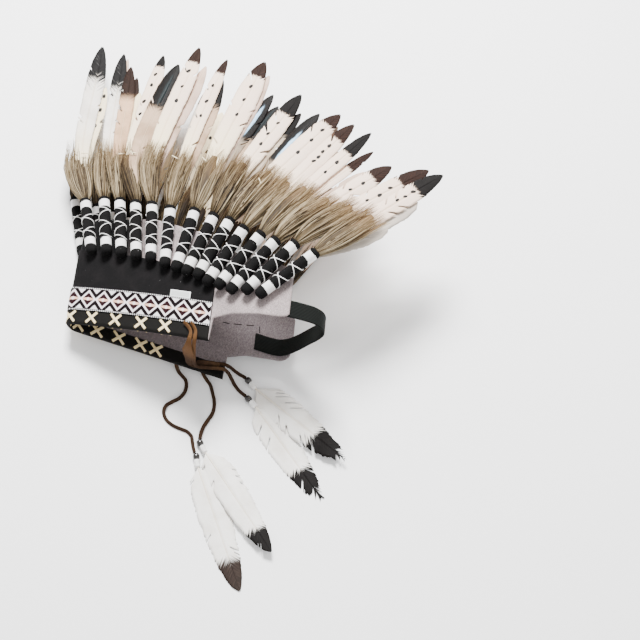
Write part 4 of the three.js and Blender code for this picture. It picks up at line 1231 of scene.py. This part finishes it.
# ---- fur tufts ------------------------------------------------------------------------------
# A tuft of tan fur on its hide is rolled into the mouth of each sleeve and hides the feathers'
# roots. Its hairs swell out of the sleeve and lie down over the vanes.
def paint_fur(wire):
    """Hairs go from dark through tan to pale by their tint, and warm towards their ends. The far tufts' lower
    tint is painted shade.
    """
    tint, reach, warm = wire.mark("tint"), wire.mark("reach"), wire.mark("warm")
    streak = wire.noise(wire.stretch(1.0, 0.25, 1.0), 420.0, 3.0)
    colour = wire.node("ShaderNodeValToRGB", {"stops": [
        (0.20, (0.010, 0.006, 0.003)), (0.42, (0.095, 0.064, 0.031)), (0.66, (0.225, 0.172, 0.102)),
        (0.92, (0.41, 0.335, 0.215))]}, {0: tint * 0.75 + streak * 0.25})
    ends = reach.step(0.35, 0.95) * warm * 0.8
    orange = wire.blend(tint, (0.12, 0.060, 0.022), (0.42, 0.285, 0.140))
    return {"Base Color": wire.blend(ends, colour, orange), "Roughness": streak * 0.2 + 0.55}


fur_finish = finish_of("tan_fur", paint_fur, specular_ior_level=0.15)
fur_length = 0.076
# How much further than its neighbours each tuft swells to its left and right, and how orange
# its ends are.
fur_swell = [(1.5, 1.15), (1.0, 1.05), (0.9, 0.9), (0.95, 0.95), (1.0, 1.0), (1.0, 1.1), (1.1, 1.1),
             (1.0, 1.0), (1.1, 1.0), (1.0, 1.0), (1.1, 1.0), (1.1, 1.1), (1.1, 1.1), (1.1, 1.15)]
fur_warm = [0.2, 0.35, 0.6, 0.65, 0.35, 0.45, 0.6, 0.55, 0.7, 0.8, 0.75, 0.85, 0.95, 0.95]


def tuft_axis(place, distances):
    """The tuft's middle line: it leaves along the sleeve and bends into the feather's lean."""
    fine = np.linspace(-0.008, 0.080, 89)
    share = np.clip((fine + 0.005) / 0.035, 0, 1)[:, None]
    ahead = unit(place["way"] * (1 - share) + leaning(place["lean"], -place["droop"]) * share)
    line = np.cumsum(ahead * 0.001, axis=0)
    line = place["foot"] + place["way"] * sleeve_above + line - line[8]
    bow = (main_looks[place["number"]][5] if place["near"] else 0) / 1000
    line = line - 0.9 * bow * (np.clip(fine / 0.045, 0, 1) ** 1.2)[:, None] * unit(np.cross(ahead, [0, 0, 1]))
    return np.stack([np.interp(distances, fine, line[:, k]) for k in range(3)], -1)


def tuft_width(share):
    """Half the tuft's width and half its depth (mm) along its length, from the sleeve's mouth."""
    share = np.clip(share, 0, 1.2)
    width = np.interp(share, [0, 0.10, 0.28, 0.5, 0.8, 1.2], [5.0, 7.4, 9.8, 10.6, 9.8, 8.6])
    depth = np.interp(share, [0, 0.10, 0.28, 0.5, 0.8, 1.2], [4.8, 5.6, 6.2, 5.2, 3.2, 1.0])
    return width, depth


def tuft(name, place, i, hairs):
    random = np.random.default_rng(4000 + i + 60 * place["near"])
    ahead = leaning(place["lean"], -place["droop"])
    side = unit(np.cross(ahead, np.array([0, 0, 1.0])))
    up = np.cross(side, ahead)
    left, right = fur_swell[i] if place["near"] else (0.72, 0.72)
    warm = fur_warm[i]
    # The hide and the inner hairs: a closed lock with long ridges.
    share = np.linspace(-0.06, 0.9, 22)
    turn = np.linspace(0, 2 * np.pi, 40, endpoint=False)
    width, depth = tuft_width(share)
    fade = np.interp(share, [-0.06, 0, 0.5, 0.9], [0.62, 0.86, 0.84, 0.25])
    ridge = (1 + 0.07 * np.sin(9 * turn + random.uniform(0, 6))
             + 0.05 * np.sin(17 * turn + random.uniform(0, 6)))
    wide = np.where(np.cos(turn) > 0, right, left)
    middle = tuft_axis(place, share * fur_length)
    lock = (middle[:, None]
            + (width * fade)[:, None, None] / 1000 * (np.cos(turn) * ridge * (wide * (share > 0.1)[:, None]
               + (share <= 0.1)[:, None]))[..., None] * side
            + (depth * fade)[:, None, None] / 1000 * (np.sin(turn) * ridge)[None, :, None] * up)
    lock = np.concatenate([lock.reshape(-1, 3), middle[:1], middle[-1:]])
    count, j = 22 * 40, np.arange(40)
    caps = [np.stack([(j + 1) % 40, j, np.full(40, count)], 1),
            np.stack([count - 40 + j, count - 40 + (j + 1) % 40, np.full(40, count + 1)], 1)]
    # Painted shade: the far tufts' hide and inner hairs start 0.12 lower in tint than the near ones.
    tint = np.tile((0.12 if place["near"] else 0.0) + 0.22 * random.random(40), 22)
    reach = np.repeat(np.clip(share, 0, 1), 40)
    lock_part = (lock, [grid_faces(22, 40, True), *caps], np.append(tint, [0.4, 0.4]),
                 np.append(reach, [0, 1]))
    # The outer hairs: three-sided tapering strands that fan out with the tuft.
    stations_of_hair = 7
    locks = 16
    lock_around, lock_reach = random.uniform(0, 2 * np.pi, locks), random.uniform(0.8, 1.08, locks)
    lock_sway = random.normal(0, 0.0042, locks)
    mine = random.integers(0, locks, hairs)
    around = lock_around[mine] + random.normal(0, 0.34, hairs)
    out = np.sqrt(random.uniform(0.35, 1.0, hairs))
    length = fur_length * lock_reach[mine] * random.uniform(0.66, 1.1, hairs)
    along = np.linspace(0, 1, stations_of_hair)[None, :] * length[:, None]
    width, depth = tuft_width(along / fur_length)
    wide = np.where(np.cos(lock_around[mine]) > 0, right, left)[:, None]
    wide = 1 + (wide - 1) * np.clip(along / 0.012, 0, 1)
    gather = 1 - 0.55 * (along / length[:, None]) ** 2
    around = lock_around[mine][:, None] + (around - lock_around[mine])[:, None] * gather
    wave = 0.0007 * np.sin(along / 0.011 + random.uniform(0, 6, hairs)[:, None]) * (along / fur_length)
    stray = (random.normal(0, 0.0013, hairs) + lock_sway[mine])[:, None] * (along / fur_length) ** 1.6
    middle = tuft_axis(place, along)
    across = (width / 1000 * wide * np.cos(around) * out[:, None] + wave + stray)
    rise = (depth / 1000 * np.sin(around) * out[:, None]
            + random.normal(0, 0.0006, hairs)[:, None] * along / fur_length)
    line = middle + across[..., None] * side + rise[..., None] * up
    thick = 0.00042 * random.uniform(0.7, 1.3, hairs)[:, None] * np.interp(
        np.linspace(0, 1, stations_of_hair), [0, 0.5, 1], [1.0, 0.9, 0.12])
    corner = np.linspace(0, 2 * np.pi, 3, endpoint=False)
    hair_ring = np.cos(corner)[:, None] * side + np.sin(corner)[:, None] * up
    rings = line[:, :, None] + thick[..., None, None] * hair_ring
    points = rings.reshape(-1, 3)
    sides = grid_faces(stations_of_hair, 3, True)
    ends = np.array([[2, 1, 0], np.array([0, 1, 2]) + (stations_of_hair - 1) * 3])
    starts = (np.arange(hairs) * stations_of_hair * 3)[:, None, None]
    # Painted shade: the far tufts' outer hairs are 0.3 lower in tint.
    hair_part = (points, [(sides + starts).reshape(-1, 4), (ends + starts).reshape(-1, 3)],
                 np.repeat(np.clip(0.7 * random.random(hairs) + 0.6 * random.random(locks)[mine] - 0.15
                                   - (0.0 if place["near"] else 0.3), 0, 1), stations_of_hair * 3),
                 np.repeat((along / fur_length).ravel(), 3))
    points, faces, tint, reach = joined([lock_part, hair_part])
    points[:, 2] = np.maximum(points[:, 2], 0.0003)
    return make_piece(name, points, faces, fur_finish,
                      marks={"tint": tint, "reach": reach, "warm": np.full(len(points), warm)})


for name, place in places.items():
    tuft(f"fur_tuft_{name}", place, int(name[-2:]) - 1, 380 if place["near"] else 110)


# ---- floor and light ------------------------------------------------------------------------
# A plain pale floor and soft light from large panels above.
floor_mesh = bpy.data.meshes.new("floor")
floor_mesh.from_pydata([(-6, -6, 0), (6, -6, 0), (6, 6, 0), (-6, 6, 0)], [], [(0, 1, 2, 3)])
floor = bpy.data.objects.new("floor", floor_mesh)
floor_mesh.transform(Matrix.Translation((0, 0, -0.0002)))
floor_mesh.materials.append(finish_of("pale_floor", lambda wire: {
    "Base Color": wire.blend(wire.noise(wire.place(), 3.0), (0.95, 0.95, 0.95), (0.96, 0.96, 0.96))},
    roughness=0.9))
bpy.context.scene.collection.objects.link(floor)
world = bpy.data.worlds.new("studio")
world.use_nodes = True
world.node_tree.nodes["Background"].inputs[0].default_value = (1, 1, 1, 1)
world.node_tree.nodes["Background"].inputs[1].default_value = 1.1
bpy.context.scene.world = world
for title, spot, power, size in (("key", (-0.35, 0.8, 1.5), 122, 0.6), ("fill", (1.2, -0.9, 1.2), 8, 1.2)):
    panel_light = bpy.data.lights.new(title, "AREA")
    panel_light.energy, panel_light.size = power, size
    lamp = bpy.data.objects.new(title, panel_light)
    lamp.location = spot
    lamp.rotation_euler = (Vector((0, 0, 0.05)) - Vector(spot)).to_track_quat("-Z", "Y").to_euler()
    bpy.context.scene.collection.objects.link(lamp)
